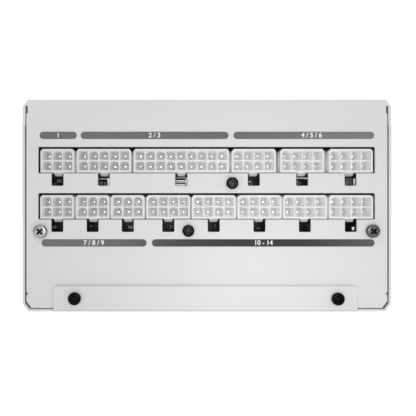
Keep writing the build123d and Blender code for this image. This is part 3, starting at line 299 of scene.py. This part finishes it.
# its tone and its painted glow, by the depth from the sockets' front; the front rims are darker, a painted
# shade, as they catch the most light
NYLON_DEPTH_SHADE = [(0, 0.765), (0.5, 0.81), (1.5, 0.96), (3, 0.97)]
NYLON_PAINTED_GLOW = [(0, 0.0), (0.6, 0.02), (2.5, 1.0), (4, 1.0)]
PAINTED_GLOW_STRENGTH = 0.045               # the strength of that painted glow
LEDGE_SHADE = 0.44                 # painted shade on the ledges under the sockets, which lie deep in the windows
LEDGE_REACH = 1.5                  # the shade reaches this far down from a row's lower edge
ROW_REACH = 12.0                   # and this far up from it there is none


def nylon(name):
    """Natural white nylon with faint flow marks, a painted glow deep in its cells, and painted shade on its
    front rims, towards the panel's ends and on the ledges."""
    s = Surface(name, (0.95, 0.95, 0.945), roughness=0.38)
    rounded = s.bevel(0.00014)
    flow = s.noise(420.0, 3.0, 0.5, stretch=(1.0, 0.35, 1.0))
    front = PANEL_Y - SOCKET_PROUD
    # painted shade on the front rims, lighter deeper in
    rim_shade = s.along("Y", [(front + depth, grey) for depth, grey in NYLON_DEPTH_SHADE])
    tone = s.mix(s.range(flow, 0.25, 0.75, 0.0, 0.04), rim_shade, (0.70, 0.70, 0.69))
    # painted shade on the ledges under each row
    steps = [(0.0, LEDGE_SHADE)]
    for row in (WINDOW_TOP["lower"], WINDOW_TOP["upper"]):
        steps += [(row - LEDGE_REACH, LEDGE_SHADE), (row - 0.05, LEDGE_SHADE), (row + 0.1, 1.0),
                  (row + ROW_REACH, 1.0)]
    tone = s.mix(s.along("Z", steps, "LINEAR"), BLACK, tone)
    # painted shade across the panel
    s.color_from(s.mix(s.along("X", NYLON_SHADE_ACROSS), BLACK, tone))
    # painted glow deep in the cells
    glow = s.along("Y", [(front + depth, share) for depth, share in NYLON_PAINTED_GLOW])
    strength = s.node("ShaderNodeMath", operation="MULTIPLY")
    s.link(glow, strength.inputs[0])
    strength.inputs[1].default_value = PAINTED_GLOW_STRENGTH
    s.link(strength.outputs["Value"], s.shader.inputs["Emission Strength"])
    s.set(Emission_Color=(1, 1, 0.99, 1))
    s.rough_noise(1300.0, 0.06)
    s.normal_from(s.bump(flow, strength=0.2, distance=0.00003, normal=rounded))
    return s.material


PLATED_RIM = 0.00012               # how far plated edges are rounded, in metres
PLATED_GRAIN = 900.0
RECESS_REACH = 0.0012              # the width of the recesses darkened with painted shade
# painted reflection: the bright screws darker towards the right of the panel
REFLECTION_ACROSS = [(-HALF_PANEL, 1.0), (HALF_PANEL, 0.30)]


def plated(name, color, roughness, recess_shade=0.0, enclosed=0.35, across=even(1.0)):
    """Plated metal with a faint grain and uneven polish, with painted shade in its recesses. Its colour may
    be darkened across the panel as painted reflection."""
    s = Surface(name, color, roughness, metallic=1.0)
    rounded = s.bevel(PLATED_RIM)
    # painted reflection across the panel
    tone = s.mix(s.along("X", across), BLACK, s.mottled(700.0, 0.06))
    # painted shade in the recesses, such as the screws' cross slots
    s.color_from(s.crevices(tone, RECESS_REACH, recess_shade, enclosed) if recess_shade else tone)
    s.rough_noise(PLATED_GRAIN, 0.06)
    s.normal_from(s.bump(s.noise(2 * PLATED_GRAIN), strength=0.3, distance=0.00001, normal=rounded))
    return s.material


def drawn_metal(name, color, roughness, along):
    """Extruded or ground metal with fine lines along one direction."""
    s = Surface(name, color, roughness, metallic=1.0)
    lines = s.noise(900.0, 4.0, 0.6, stretch=along)
    s.color_from(s.ramp(lines, *NOISE_BAND, tuple(c * 0.88 for c in color), color))
    uneven = s.range(lines, *NOISE_BAND, roughness - 0.08, roughness + 0.1)
    s.link(uneven, s.shader.inputs["Roughness"])
    s.normal_from(s.bump(lines, strength=0.3, distance=0.00002, normal=s.bevel(0.0002)))
    return s.material


def circuit_board(name):
    """Black solder mask over copper: tracks stand up slightly under the lacquer."""
    s = Surface(name, (0.012, 0.014, 0.014), roughness=0.32)
    tracks = s.node("ShaderNodeTexBrick")
    tracks.inputs["Scale"].default_value = 150.0
    tracks.inputs["Mortar Size"].default_value = 0.02
    s.link(s.stretched((1.0, 1.0, 2.0)), tracks.inputs["Vector"])
    s.color_from(s.ramp(tracks.outputs["Fac"], 0.2, 0.8, (0.022, 0.025, 0.024), (0.008, 0.009, 0.009)))
    s.rough_noise(700.0, 0.08)
    s.normal_from(s.bump(tracks.outputs["Fac"], strength=0.4, distance=0.00004))
    return s.material


def wound_copper(name):
    """Enamelled copper wire."""
    s = Surface(name, (0.62, 0.25, 0.10), roughness=0.28, metallic=1.0)
    s.color_from(s.ramp(s.noise(500.0), *NOISE_BAND, (0.42, 0.15, 0.06), (0.72, 0.32, 0.14)))
    s.rough_noise(700.0, 0.08)
    return s.set(Coat_Weight=0.5, Coat_Roughness=0.15).material


def ink(name, stops):
    """Screen-printed ink, a little uneven, whose grey may change along the panel as painted reflection."""
    s = Surface(name, (stops[0][1],) * 3, roughness=0.5)
    s.set(Specular_IOR_Level=0.25)
    # painted reflection along the panel
    tone = s.along("X", stops)
    s.color_from(s.mix(s.range(s.noise(900.0), *NOISE_BAND, 0.0, 0.12), tone, (0.02, 0.02, 0.02)))
    s.rough_noise(1500.0, 0.05)
    s.normal_from(s.bump(s.noise(3200.0, 2.0), strength=0.3, distance=0.00001))
    return s.material


def clear_film(name):
    """Clear stiff plastic sheet."""
    s = Surface(name, (0.75, 0.78, 0.80), roughness=0.15)
    s.color_from(s.mottled(120.0, 0.03))
    s.rough_noise(300.0, 0.05)
    return s.set(Transmission_Weight=0.85, IOR=1.45).material


MATERIALS = {
    "casing_paint": powder_coat("casing_paint", (0.67, 0.67, 0.67)),
    "nylon": nylon("nylon"),
    "pin_tin": plated("pin_tin", (0.93, 0.93, 0.91), 0.30),
    # painted shade in the screws' cross recesses, and on the bright screws a painted reflection darker
    # towards the right
    "black_screw": plated("black_screw", (0.007, 0.007, 0.0072), 0.24, recess_shade=0.85),
    "bright_screw": plated("bright_screw", (0.36, 0.36, 0.36), 0.20, recess_shade=0.99, enclosed=0.76,
                           across=REFLECTION_ACROSS),
    "grille_wire": powder_coat("grille_wire", (0.78, 0.78, 0.78), 0.35, 2500.0),
    "fan_plastic": moulded("fan_plastic", (0.030, 0.030, 0.032), 0.36),
    "shaft_steel": plated("shaft_steel", (0.55, 0.55, 0.56), 0.2),
    "bronze": plated("bronze", (0.42, 0.27, 0.12), 0.45),
    "copper": wound_copper("copper"),
    "baffle_film": clear_film("baffle_film"),
    "board_black": circuit_board("board_black"),
    "brass_plated": plated("brass_plated", (0.72, 0.66, 0.50), 0.3),
    "inlet_plastic": moulded("inlet_plastic", (0.02, 0.02, 0.021), 0.4),
    "rocker_plastic": moulded("rocker_plastic", (0.014, 0.014, 0.015), 0.18, rim=0.0006),
    "wire_sleeve": moulded("wire_sleeve", (0.03, 0.03, 0.03), 0.4),
    "film": moulded("film", (0.03, 0.03, 0.03), 0.35),
    "film_box": moulded("film_box", (0.55, 0.38, 0.05), 0.35),
    "ferrite": moulded("ferrite", (0.05, 0.05, 0.053), 0.6, grain=900.0, depth=0.00006),
    "rectifier_epoxy": moulded("rectifier_epoxy", (0.02, 0.02, 0.02), 0.5),
    "can_sleeve": moulded("can_sleeve", (0.012, 0.014, 0.04), 0.22),
    "aluminium": drawn_metal("aluminium", (0.75, 0.75, 0.76), 0.38, (8.0, 0.2, 8.0)),
    "coil_tape": moulded("coil_tape", (0.62, 0.42, 0.04), 0.3),
    "can_bare": drawn_metal("can_bare", (0.80, 0.80, 0.81), 0.28, (8.0, 8.0, 0.3)),
}


def dress_nodes():
    """Gives each CAD node the material of its slot."""
    for entry in frame["record"]["subparts"]:
        obj = nodes[entry["node"]]
        obj.data.materials.clear()
        obj.data.materials.append(MATERIALS[entry["material_slot"]])


# ---- printed bars and numbers -------------------------------------------------
BAR_HEIGHT = 3.0
UPPER_BAR_Z = 71.6
LOWER_BAR_Z = 27.85
INK_THICKNESS = 0.03
NUMBER_GREY = 0.85
DIGIT_HEIGHT = 1.9
DIGIT_STROKE = 0.06                # how much the strokes are thickened each way
FONT_SIZE = 1.4 * DIGIT_HEIGHT     # the font's size for digits of that height
# greys of the ink across the panel, with painted reflection: the upper bars lighter towards the right, the
# lower bars darkest right of the middle
UPPER_INK_REFLECTION = [(-68, 0.153), (-20, 0.155), (5, 0.148), (30, 0.165), (45, 0.185), (68, 0.203)]
LOWER_INK_REFLECTION = [(-68, 0.168), (-33, 0.132), (-18, 0.079), (0, 0.049), (20, 0.038), (42, 0.043), (68, 0.101)]
# left end, right end, height of the middle, the number's place, and the number
BARS = [(-68.1, -52.9, UPPER_BAR_Z, -60.5, "1"), (-51.4, 8.8, UPPER_BAR_Z, -21.3, "2 / 3"),
        (10.8, 68.1, UPPER_BAR_Z, 42.6, "4 / 5 / 6"), (-67.3, -24.5, LOWER_BAR_Z, -46.0, "7 / 8 / 9"),
        (-22.4, 68.2, LOWER_BAR_Z, 23.0, "10 - 14")]


def new_mesh(name, build, material, body="chassis"):
    """Makes a mesh piece in metres from a function that fills a bmesh in millimetres."""
    mesh = bpy.data.meshes.new(name)
    bm = bmesh.new()
    build(bm)
    bmesh.ops.scale(bm, vec=(MM, MM, MM), verts=bm.verts)
    bmesh.ops.recalc_face_normals(bm, faces=bm.faces)
    bm.to_mesh(mesh)
    bm.free()
    mesh.materials.append(material)
    obj = bpy.data.objects.new(name, mesh)
    bpy.context.scene.collection.objects.link(obj)
    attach(obj, body)
    return obj


def stadium(x0, x1, z, height, steps=12):
    """A bar with round ends as (x, z) points, counter-clockwise."""
    radius = height / 2
    points = []
    for centre, start in ((x1 - radius, -90), (x0 + radius, 90)):
        for step in range(steps + 1):
            angle = math.radians(start + 180 * step / steps)
            points.append((centre + radius * math.cos(angle), z + radius * math.sin(angle)))
    return points


def slab(bm, points, y0, y1):
    """A prism between two planes across Y from (x, z) points."""
    front = [bm.verts.new((x, y0, z)) for x, z in points]
    back = [bm.verts.new((x, y1, z)) for x, z in points]
    bm.faces.new(front)
    bm.faces.new(list(reversed(back)))
    count = len(points)
    for i in range(count):
        j = (i + 1) % count
        bm.faces.new((front[j], front[i], back[i], back[j]))


def text_piece(name, words, x, z, y, material):
    """Raised print: the digits as a thin mesh on the panel."""
    curve = bpy.data.curves.new(name, "FONT")
    curve.body = words
    curve.align_x = "CENTER"
    curve.align_y = "CENTER"
    curve.size = FONT_SIZE * MM
    curve.extrude = INK_THICKNESS / 2 * MM
    curve.offset = DIGIT_STROKE * MM
    text = bpy.data.objects.new(name + "_curve", curve)
    bpy.context.scene.collection.objects.link(text)
    bpy.context.view_layer.update()
    mesh = bpy.data.meshes.new_from_object(text)
    bpy.data.objects.remove(text)
    mesh.transform(Matrix.Translation(Vector((x, y, z)) * MM) @ Matrix.Rotation(math.radians(90), 4, "X"))
    mesh.materials.clear()
    mesh.materials.append(material)
    obj = bpy.data.objects.new(name, mesh)
    bpy.context.scene.collection.objects.link(obj)
    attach(obj, "chassis")


def add_print():
    upper = ink("upper_bar_ink", UPPER_INK_REFLECTION)
    lower = ink("lower_bar_ink", LOWER_INK_REFLECTION)
    white = ink("number_ink", even(NUMBER_GREY))
    for number, (x0, x1, z, text_x, words) in enumerate(BARS, start=1):
        points = stadium(x0, x1, z, BAR_HEIGHT)
        new_mesh(f"label_bar_{number}", lambda bm: slab(bm, points, PANEL_Y - INK_THICKNESS, PANEL_Y),
                 upper if z == UPPER_BAR_Z else lower)
        text_piece(f"label_number_{number}", words, text_x, z, PANEL_Y - 1.5 * INK_THICKNESS, white)


# ---- small parts on the modular board, seen through the latch windows ----------
def block_bm(bm, x0, x1, y0, y1, z0, z1, rim=0.08):
    """A small moulded block with softened edges."""
    made = bmesh.ops.create_cube(bm, size=1.0)
    verts = made["verts"]
    bmesh.ops.scale(bm, vec=(x1 - x0, y1 - y0, z1 - z0), verts=verts)
    bmesh.ops.translate(bm, vec=((x0 + x1) / 2, (y0 + y1) / 2, (z0 + z1) / 2), verts=verts)
    edges = list({e for v in verts for e in v.link_edges})
    bmesh.ops.bevel(bm, geom=edges, offset=rim, segments=2, affect="EDGES", profile=0.6)


# what shows in each latch window: row, socket, kind, place from the window's upper middle,
# length and height
BOARD_PARTS = [
    ("upper", 1, "chip", 0.7, -3.2, 2.0, 1.4), ("upper", 1, "chip", -1.0, -4.4, 1.4, 0.7),
    ("upper", 2, "wire", -0.4, -2.3, 3.8, 0.3), ("upper", 2, "film", 1.9, -3.7, 0.8, 3.4),
    ("upper", 2, "chip", -1.1, -4.0, 1.6, 1.3), ("upper", 2, "chip", 0.5, -4.2, 0.9, 1.4),
    ("upper", 3, "wire", 0.0, -1.9, 4.4, 0.25), ("upper", 3, "film", -0.1, -3.1, 4.4, 0.42),
    ("upper", 3, "wire", -0.1, -3.8, 4.4, 0.35), ("upper", 3, "film", -0.3, -4.7, 4.0, 0.5),
    ("upper", 3, "film", 2.0, -3.4, 0.35, 3.0),
    ("upper", 4, "chip", -1.8, -1.9, 1.2, 0.6), ("upper", 4, "land", -1.7, -3.4, 1.2, 0.8),
    ("upper", 4, "chip", -1.0, -4.3, 1.3, 0.9), ("upper", 4, "land", -2.1, -4.6, 0.5, 0.5),
    ("upper", 5, "wire", -0.2, -2.0, 4.4, 0.4), ("upper", 5, "film", 1.6, -2.1, 1.2, 0.4),
    ("upper", 5, "land", -1.9, -3.3, 0.6, 0.5), ("upper", 5, "chip", -1.3, -4.2, 1.5, 0.9),
    ("upper", 6, "film", 1.45, -3.6, 0.5, 2.9), ("upper", 6, "wire", 2.1, -3.6, 0.35, 2.9),
    ("upper", 6, "chip", -0.6, -3.3, 2.9, 2.9), ("upper", 6, "land", -1.9, -4.2, 0.5, 1.2),
    ("lower", 1, "chip", -1.1, -3.2, 1.6, 1.4), ("lower", 2, "chip", -0.6, -2.8, 1.2, 0.8),
    ("lower", 3, "land", 1.2, -2.8, 2.0, 0.4), ("lower", 3, "land", 1.2, -3.5, 2.0, 0.45),
    ("lower", 3, "chip", 1.4, -4.4, 1.6, 0.4),
    ("lower", 4, "chip", 1.2, -3.0, 1.2, 1.3), ("lower", 4, "land", 1.2, -3.0, 0.4, 0.4),
    ("lower", 5, "chip", 0.5, -2.6, 0.9, 1.2), ("lower", 6, "chip", -0.4, -3.6, 1.4, 0.8),
    ("lower", 7, "chip", 1.7, -3.2, 0.6, 2.6),
    ("lower", 8, "film", 0.9, -3.7, 0.9, 1.3), ("lower", 8, "chip", 2.0, -3.9, 0.7, 1.4),
]
# how far each kind's front and back lie in front of the board
STAND_OFF = {"wire": (8.8, 8.4), "film": (9.2, 8.9), "chip": (5.5, 0.0), "land": (6.5, 0.0)}


def behind(x, z, y):
    """The point at a place along Y that shows at (x, z) of the socket panel."""
    share = 1 + (y - PANEL_Y) / CAMERA_DISTANCE
    return CAMERA_X + (x - CAMERA_X) * share, CAMERA_Z + (z - CAMERA_Z) * share


def add_board_parts():
    """Wire links, film strips, chips and solder lands that show in the latch windows."""
    finishes = {"wire": (moulded("link_wire", (0.72, 0.72, 0.72), 0.3), "nylon"),
                # the white film has a painted glow
                "film": (moulded("white_film", (0.95, 0.95, 0.94), 0.45, glow=0.18), "nylon"),
                "chip": (moulded("chip_body", (0.16, 0.158, 0.154), 0.45, spread=0.3), "rectifier_epoxy"),
                "land": (moulded("solder", (0.42, 0.42, 0.42), 0.3, spread=0.3), "pin_tin")}

    def fill(bm, wanted):
        for row, number, kind, right, down, length, height in BOARD_PARTS:
            if kind == wanted:
                low, high = corners(f"socket_{row}_{number}")
                near, far = (BOARD_Y - gap for gap in STAND_OFF[kind])
                x, z = behind((low.x + high.x) / 2 + right, WINDOW_TOP[row] + down, near)
                block_bm(bm, x - length / 2, x + length / 2, near, far, z - height / 2, z + height / 2)

    for kind, (material, slot) in finishes.items():
        new_mesh("board_" + kind, lambda bm: fill(bm, kind), material)


# ---- marks on the rocker and the fan's hub ---------------------------------------
MARK_THICKNESS = 0.03
MARK_GREY = 0.80
MARK_PLACE = 4.3                   # from the rocker's middle along each half
MARK_BAR = (0.5, 3.2)              # the bar: width and length
MARK_RING = (1.6, 1.15)            # the ring: outer and inner radius
ROCKER_SLOPE = 10.0                # of each half's face from level
ROCKER_VALLEY = 3.2                # pivot to the middle of the outer face
ROCKER_REST = 10.0                 # how far the rocker is tipped at rest


def ring_bm(bm, outer, inner, y0, y1, steps=32):
    """A flat ring about the Y axis."""
    angles = [math.tau * step / steps for step in range(steps)]
    loops = []
    for radius, y in ((outer, y0), (outer, y1), (inner, y1), (inner, y0)):
        loops.append([bm.verts.new((radius * math.cos(a), y, radius * math.sin(a))) for a in angles])
    for first, second in zip(loops, loops[1:] + loops[:1]):
        for i in range(steps):
            j = (i + 1) % steps
            bm.faces.new((first[i], first[j], second[j], second[i]))


def add_rocker_marks():
    """The usual bar and ring, printed on the halves of the rocker."""
    white = ink("mark_ink", even(MARK_GREY))
    joint = next(j for j in frame["record"]["behaviour"]["joints"] if j["name"] == "rocker_tip")
    tipped = Matrix.Translation(Vector(joint["pos_m"])) @ Matrix.Rotation(math.radians(ROCKER_REST), 4, "X")

    def bar(bm):
        block_bm(bm, -MARK_BAR[0] / 2, MARK_BAR[0] / 2, 0, MARK_THICKNESS,
                 -MARK_BAR[1] / 2, MARK_BAR[1] / 2, MARK_THICKNESS / 4)

    def ring(bm):
        ring_bm(bm, *MARK_RING, 0, MARK_THICKNESS)

    for name, build, side in (("rocker_mark_bar", bar, 1), ("rocker_mark_ring", ring, -1)):
        mark = new_mesh(name, build, white, body="rocker")
        out = ROCKER_VALLEY + MARK_PLACE * math.tan(math.radians(ROCKER_SLOPE))
        place = Matrix.Translation(Vector((0, out, side * MARK_PLACE)) * MM)
        slope = Matrix.Rotation(math.radians(-side * ROCKER_SLOPE), 4, "X")
        mark.data.transform(tipped @ place @ slope)


HUB_LABEL = (16.5, 0.1)            # radius and thickness
HUB_STEPS = 64                     # corners of the disc's outline


def add_hub_label():
    """A plain foil disc on the fan's hub."""
    low, high = corners("fan_shaft")
    centre = Vector(((low.x + high.x) / 2, (low.y + high.y) / 2, corners("fan_rotor")[0].z)) * MM
    foil = drawn_metal("hub_foil", (0.62, 0.62, 0.63), 0.42, (4.0, 4.0, 4.0))
    radius, thickness = HUB_LABEL
    turns = [math.tau * step / HUB_STEPS for step in range(HUB_STEPS)]
    points = [(radius * math.cos(turn), radius * math.sin(turn)) for turn in turns]
    disc = new_mesh("fan_hub_label", lambda bm: slab(bm, points, 0, thickness), foil,
                    body="fan_wheel")
    disc.data.transform(Matrix.Translation(centre) @ Matrix.Rotation(math.radians(-90), 4, "X"))


# ---- floor and lights ----------------------------------------------------------
FLOOR_HALF = 3.0                   # metres
FLOOR_DROP = 0.0016                # the sheet lies this far under the part
PANE_DROP = 0.0030                 # and the pane this far
PANE_INSET = 0.012                 # from the part's outline
FLOOR_GREY = (0.69, 0.69, 0.69)
# painted shadow: the pane under the part is dark from above
PANE_SHADOW_GREY = (0.02, 0.02, 0.02)
FLOOR_GLOW = (0.53, 0.80)          # as a light on the part, and to the eye
PANE_GLOW = (0.0, 0.0)
AMBIENT = 0.52                     # the world as a light, against 1 to the eye


def stage_sheet(name, points, drop, faces, color, glow, clear):
    """A piece of the light table. Its clear share, from a function of its nodes, lets light by."""
    mesh = bpy.data.meshes.new(name)
    mesh.from_pydata([(x, y, -drop) for x, y in points], [], faces)
    s = Surface(name, color, roughness=0.85)
    s.color_from(s.mottled(6.0, 0.01))
    seen = s.node("ShaderNodeLightPath").outputs["Is Camera Ray"]
    s.link(s.range(seen, 0.0, 1.0, *glow), s.shader.inputs["Emission Strength"])
    s.set(Emission_Color=(1, 1, 1, 1))
    through = s.node("ShaderNodeMixShader")
    s.link(clear(s), through.inputs[0])
    s.link(s.shader.outputs[0], through.inputs[1])
    s.link(s.node("ShaderNodeBsdfTransparent").outputs[0], through.inputs[2])
    s.link(through.outputs[0], s.tree.nodes["Material Output"].inputs["Surface"])
    mesh.materials.append(s.material)
    sheet = bpy.data.objects.new(name, mesh)
    bpy.context.scene.collection.objects.link(sheet)


def seen_through(s, from_below):
    """1 for the camera's rays that meet the sheet from below, or else from above."""
    backfacing = s.node("ShaderNodeNewGeometry").outputs["Backfacing"]
    from_above_value, from_below_value = (0.0, 1.0) if from_below else (1.0, 0.0)
    side = s.range(backfacing, 0.0, 1.0, from_above_value, from_below_value)
    both = s.node("ShaderNodeMath", operation="MULTIPLY")
    s.link(side, both.inputs[0])
    s.link(s.node("ShaderNodeLightPath").outputs["Is Camera Ray"], both.inputs[1])
    return both.outputs["Value"]


def add_floor():
    """A plain white light table, which can be looked through from below, with a clear pane under the part
    that is dark from above: a painted shadow."""
    half = FLOOR_HALF
    outer = [(-half, -half), (half, -half), (half, half), (-half, half)]
    x0, y0 = (place + PANE_INSET for place in cad_box[0].xy)
    x1, y1 = (place - PANE_INSET for place in cad_box[1].xy)
    inner = [(x0, y0), (x1, y0), (x1, y1), (x0, y1)]
    frame_faces = [(i, (i + 1) % 4, 4 + (i + 1) % 4, 4 + i) for i in range(4)]
    stage_sheet("floor", outer + inner, FLOOR_DROP, frame_faces, FLOOR_GREY, FLOOR_GLOW,
                lambda s: seen_through(s, from_below=True))
    # painted shadow under the part
    stage_sheet("floor_under_part", inner, PANE_DROP, [(0, 1, 2, 3)], PANE_SHADOW_GREY, PANE_GLOW,
                lambda s: s.range(seen_through(s, from_below=False), 0.0, 1.0, 1.0, 0.0))


def add_world():
    """Soft light from all round, in front of a white background."""
    world = bpy.data.worlds.new("studio")
    world.use_nodes = True
    tree = world.node_tree
    glow = tree.nodes["Background"]
    glow.inputs["Color"].default_value = (1, 1, 1, 1)
    path = tree.nodes.new("ShaderNodeLightPath")
    strength = tree.nodes.new("ShaderNodeMapRange")
    strength.inputs["To Min"].default_value = AMBIENT
    strength.inputs["To Max"].default_value = 1.0
    tree.links.new(path.outputs["Is Camera Ray"], strength.inputs["Value"])
    tree.links.new(strength.outputs["Result"], glow.inputs["Strength"])
    bpy.context.scene.world = world


def aim(light, place, target):
    """Puts a light in its place, turned to its target, both in metres."""
    light.location = place
    light.rotation_euler = (Vector(target) - Vector(place)).to_track_quat("-Z", "Y").to_euler()
    bpy.context.scene.collection.objects.link(light)


def softbox(name, place, target, size, power):
    """A rectangular light."""
    data = bpy.data.lights.new(name, "AREA")
    data.shape = "RECTANGLE"
    data.size = size[0]
    data.size_y = size[1]
    data.energy = power
    aim(bpy.data.objects.new(name, data), place, target)


def soft_spot(name, place, target, cone, power):
    """A spot that fades out from its middle and makes no highlight."""
    data = bpy.data.lights.new(name, "SPOT")
    data.spot_size = math.radians(cone)
    data.spot_blend = 1.0
    data.shadow_soft_size = 0.05
    data.energy = power
    light = bpy.data.objects.new(name, data)
    light.visible_glossy = False
    aim(light, place, target)


SPARKLING = ["socket_pins", "panel_screws_black", "panel_screws_silver", "flap_screws"]


def sparkle(place, target, size, power):
    """A small light that only the pins and the front's screws answer to."""
    softbox("sparkle", place, target, size, power)
    receivers = bpy.data.collections.new("sparkle_receivers")
    for name in SPARKLING:
        receivers.objects.link(bpy.data.objects[name])
    bpy.data.objects["sparkle"].light_linking.receiver_collection = receivers


LIGHT_BOUNCES = 20                 # enough for the depth of the white cells
PANEL_MIDDLE = (0, -0.07, 0.05)    # metres


def add_lights():
    """The lights and how they are rendered: places and sizes in metres, cones in degrees."""
    softbox("key", place=(0.10, -1.00, 0.42), target=PANEL_MIDDLE, size=(1.2, 0.8), power=1.55)
    softbox("top", place=(0, 0, 1.1), target=(0, 0, 0), size=(1.2, 1.2), power=5)
    softbox("under", place=(0, 0, -1.1), target=(0, 0, 0), size=(1.2, 1.2), power=2.2)
    soft_spot("low_spot", place=(0.10, -0.90, 0.12), target=(0.022, -0.076, 0.004), cone=8.5,
              power=8.6)
    soft_spot("high_spot", place=(0.10, -0.90, 0.20), target=(0.010, -0.076, 0.090), cone=17,
              power=1.9)
    sparkle(place=(0.02, -0.75, 0.09), target=PANEL_MIDDLE, size=(0.25, 0.2), power=2.0)
    scene = bpy.context.scene
    scene.view_settings.view_transform = "Standard"
    scene.cycles.max_bounces = LIGHT_BOUNCES
    scene.cycles.diffuse_bounces = LIGHT_BOUNCES


add_camera()
dress_nodes()
add_print()
add_board_parts()
add_rocker_marks()
add_hub_label()
add_floor()
add_world()
add_lights()
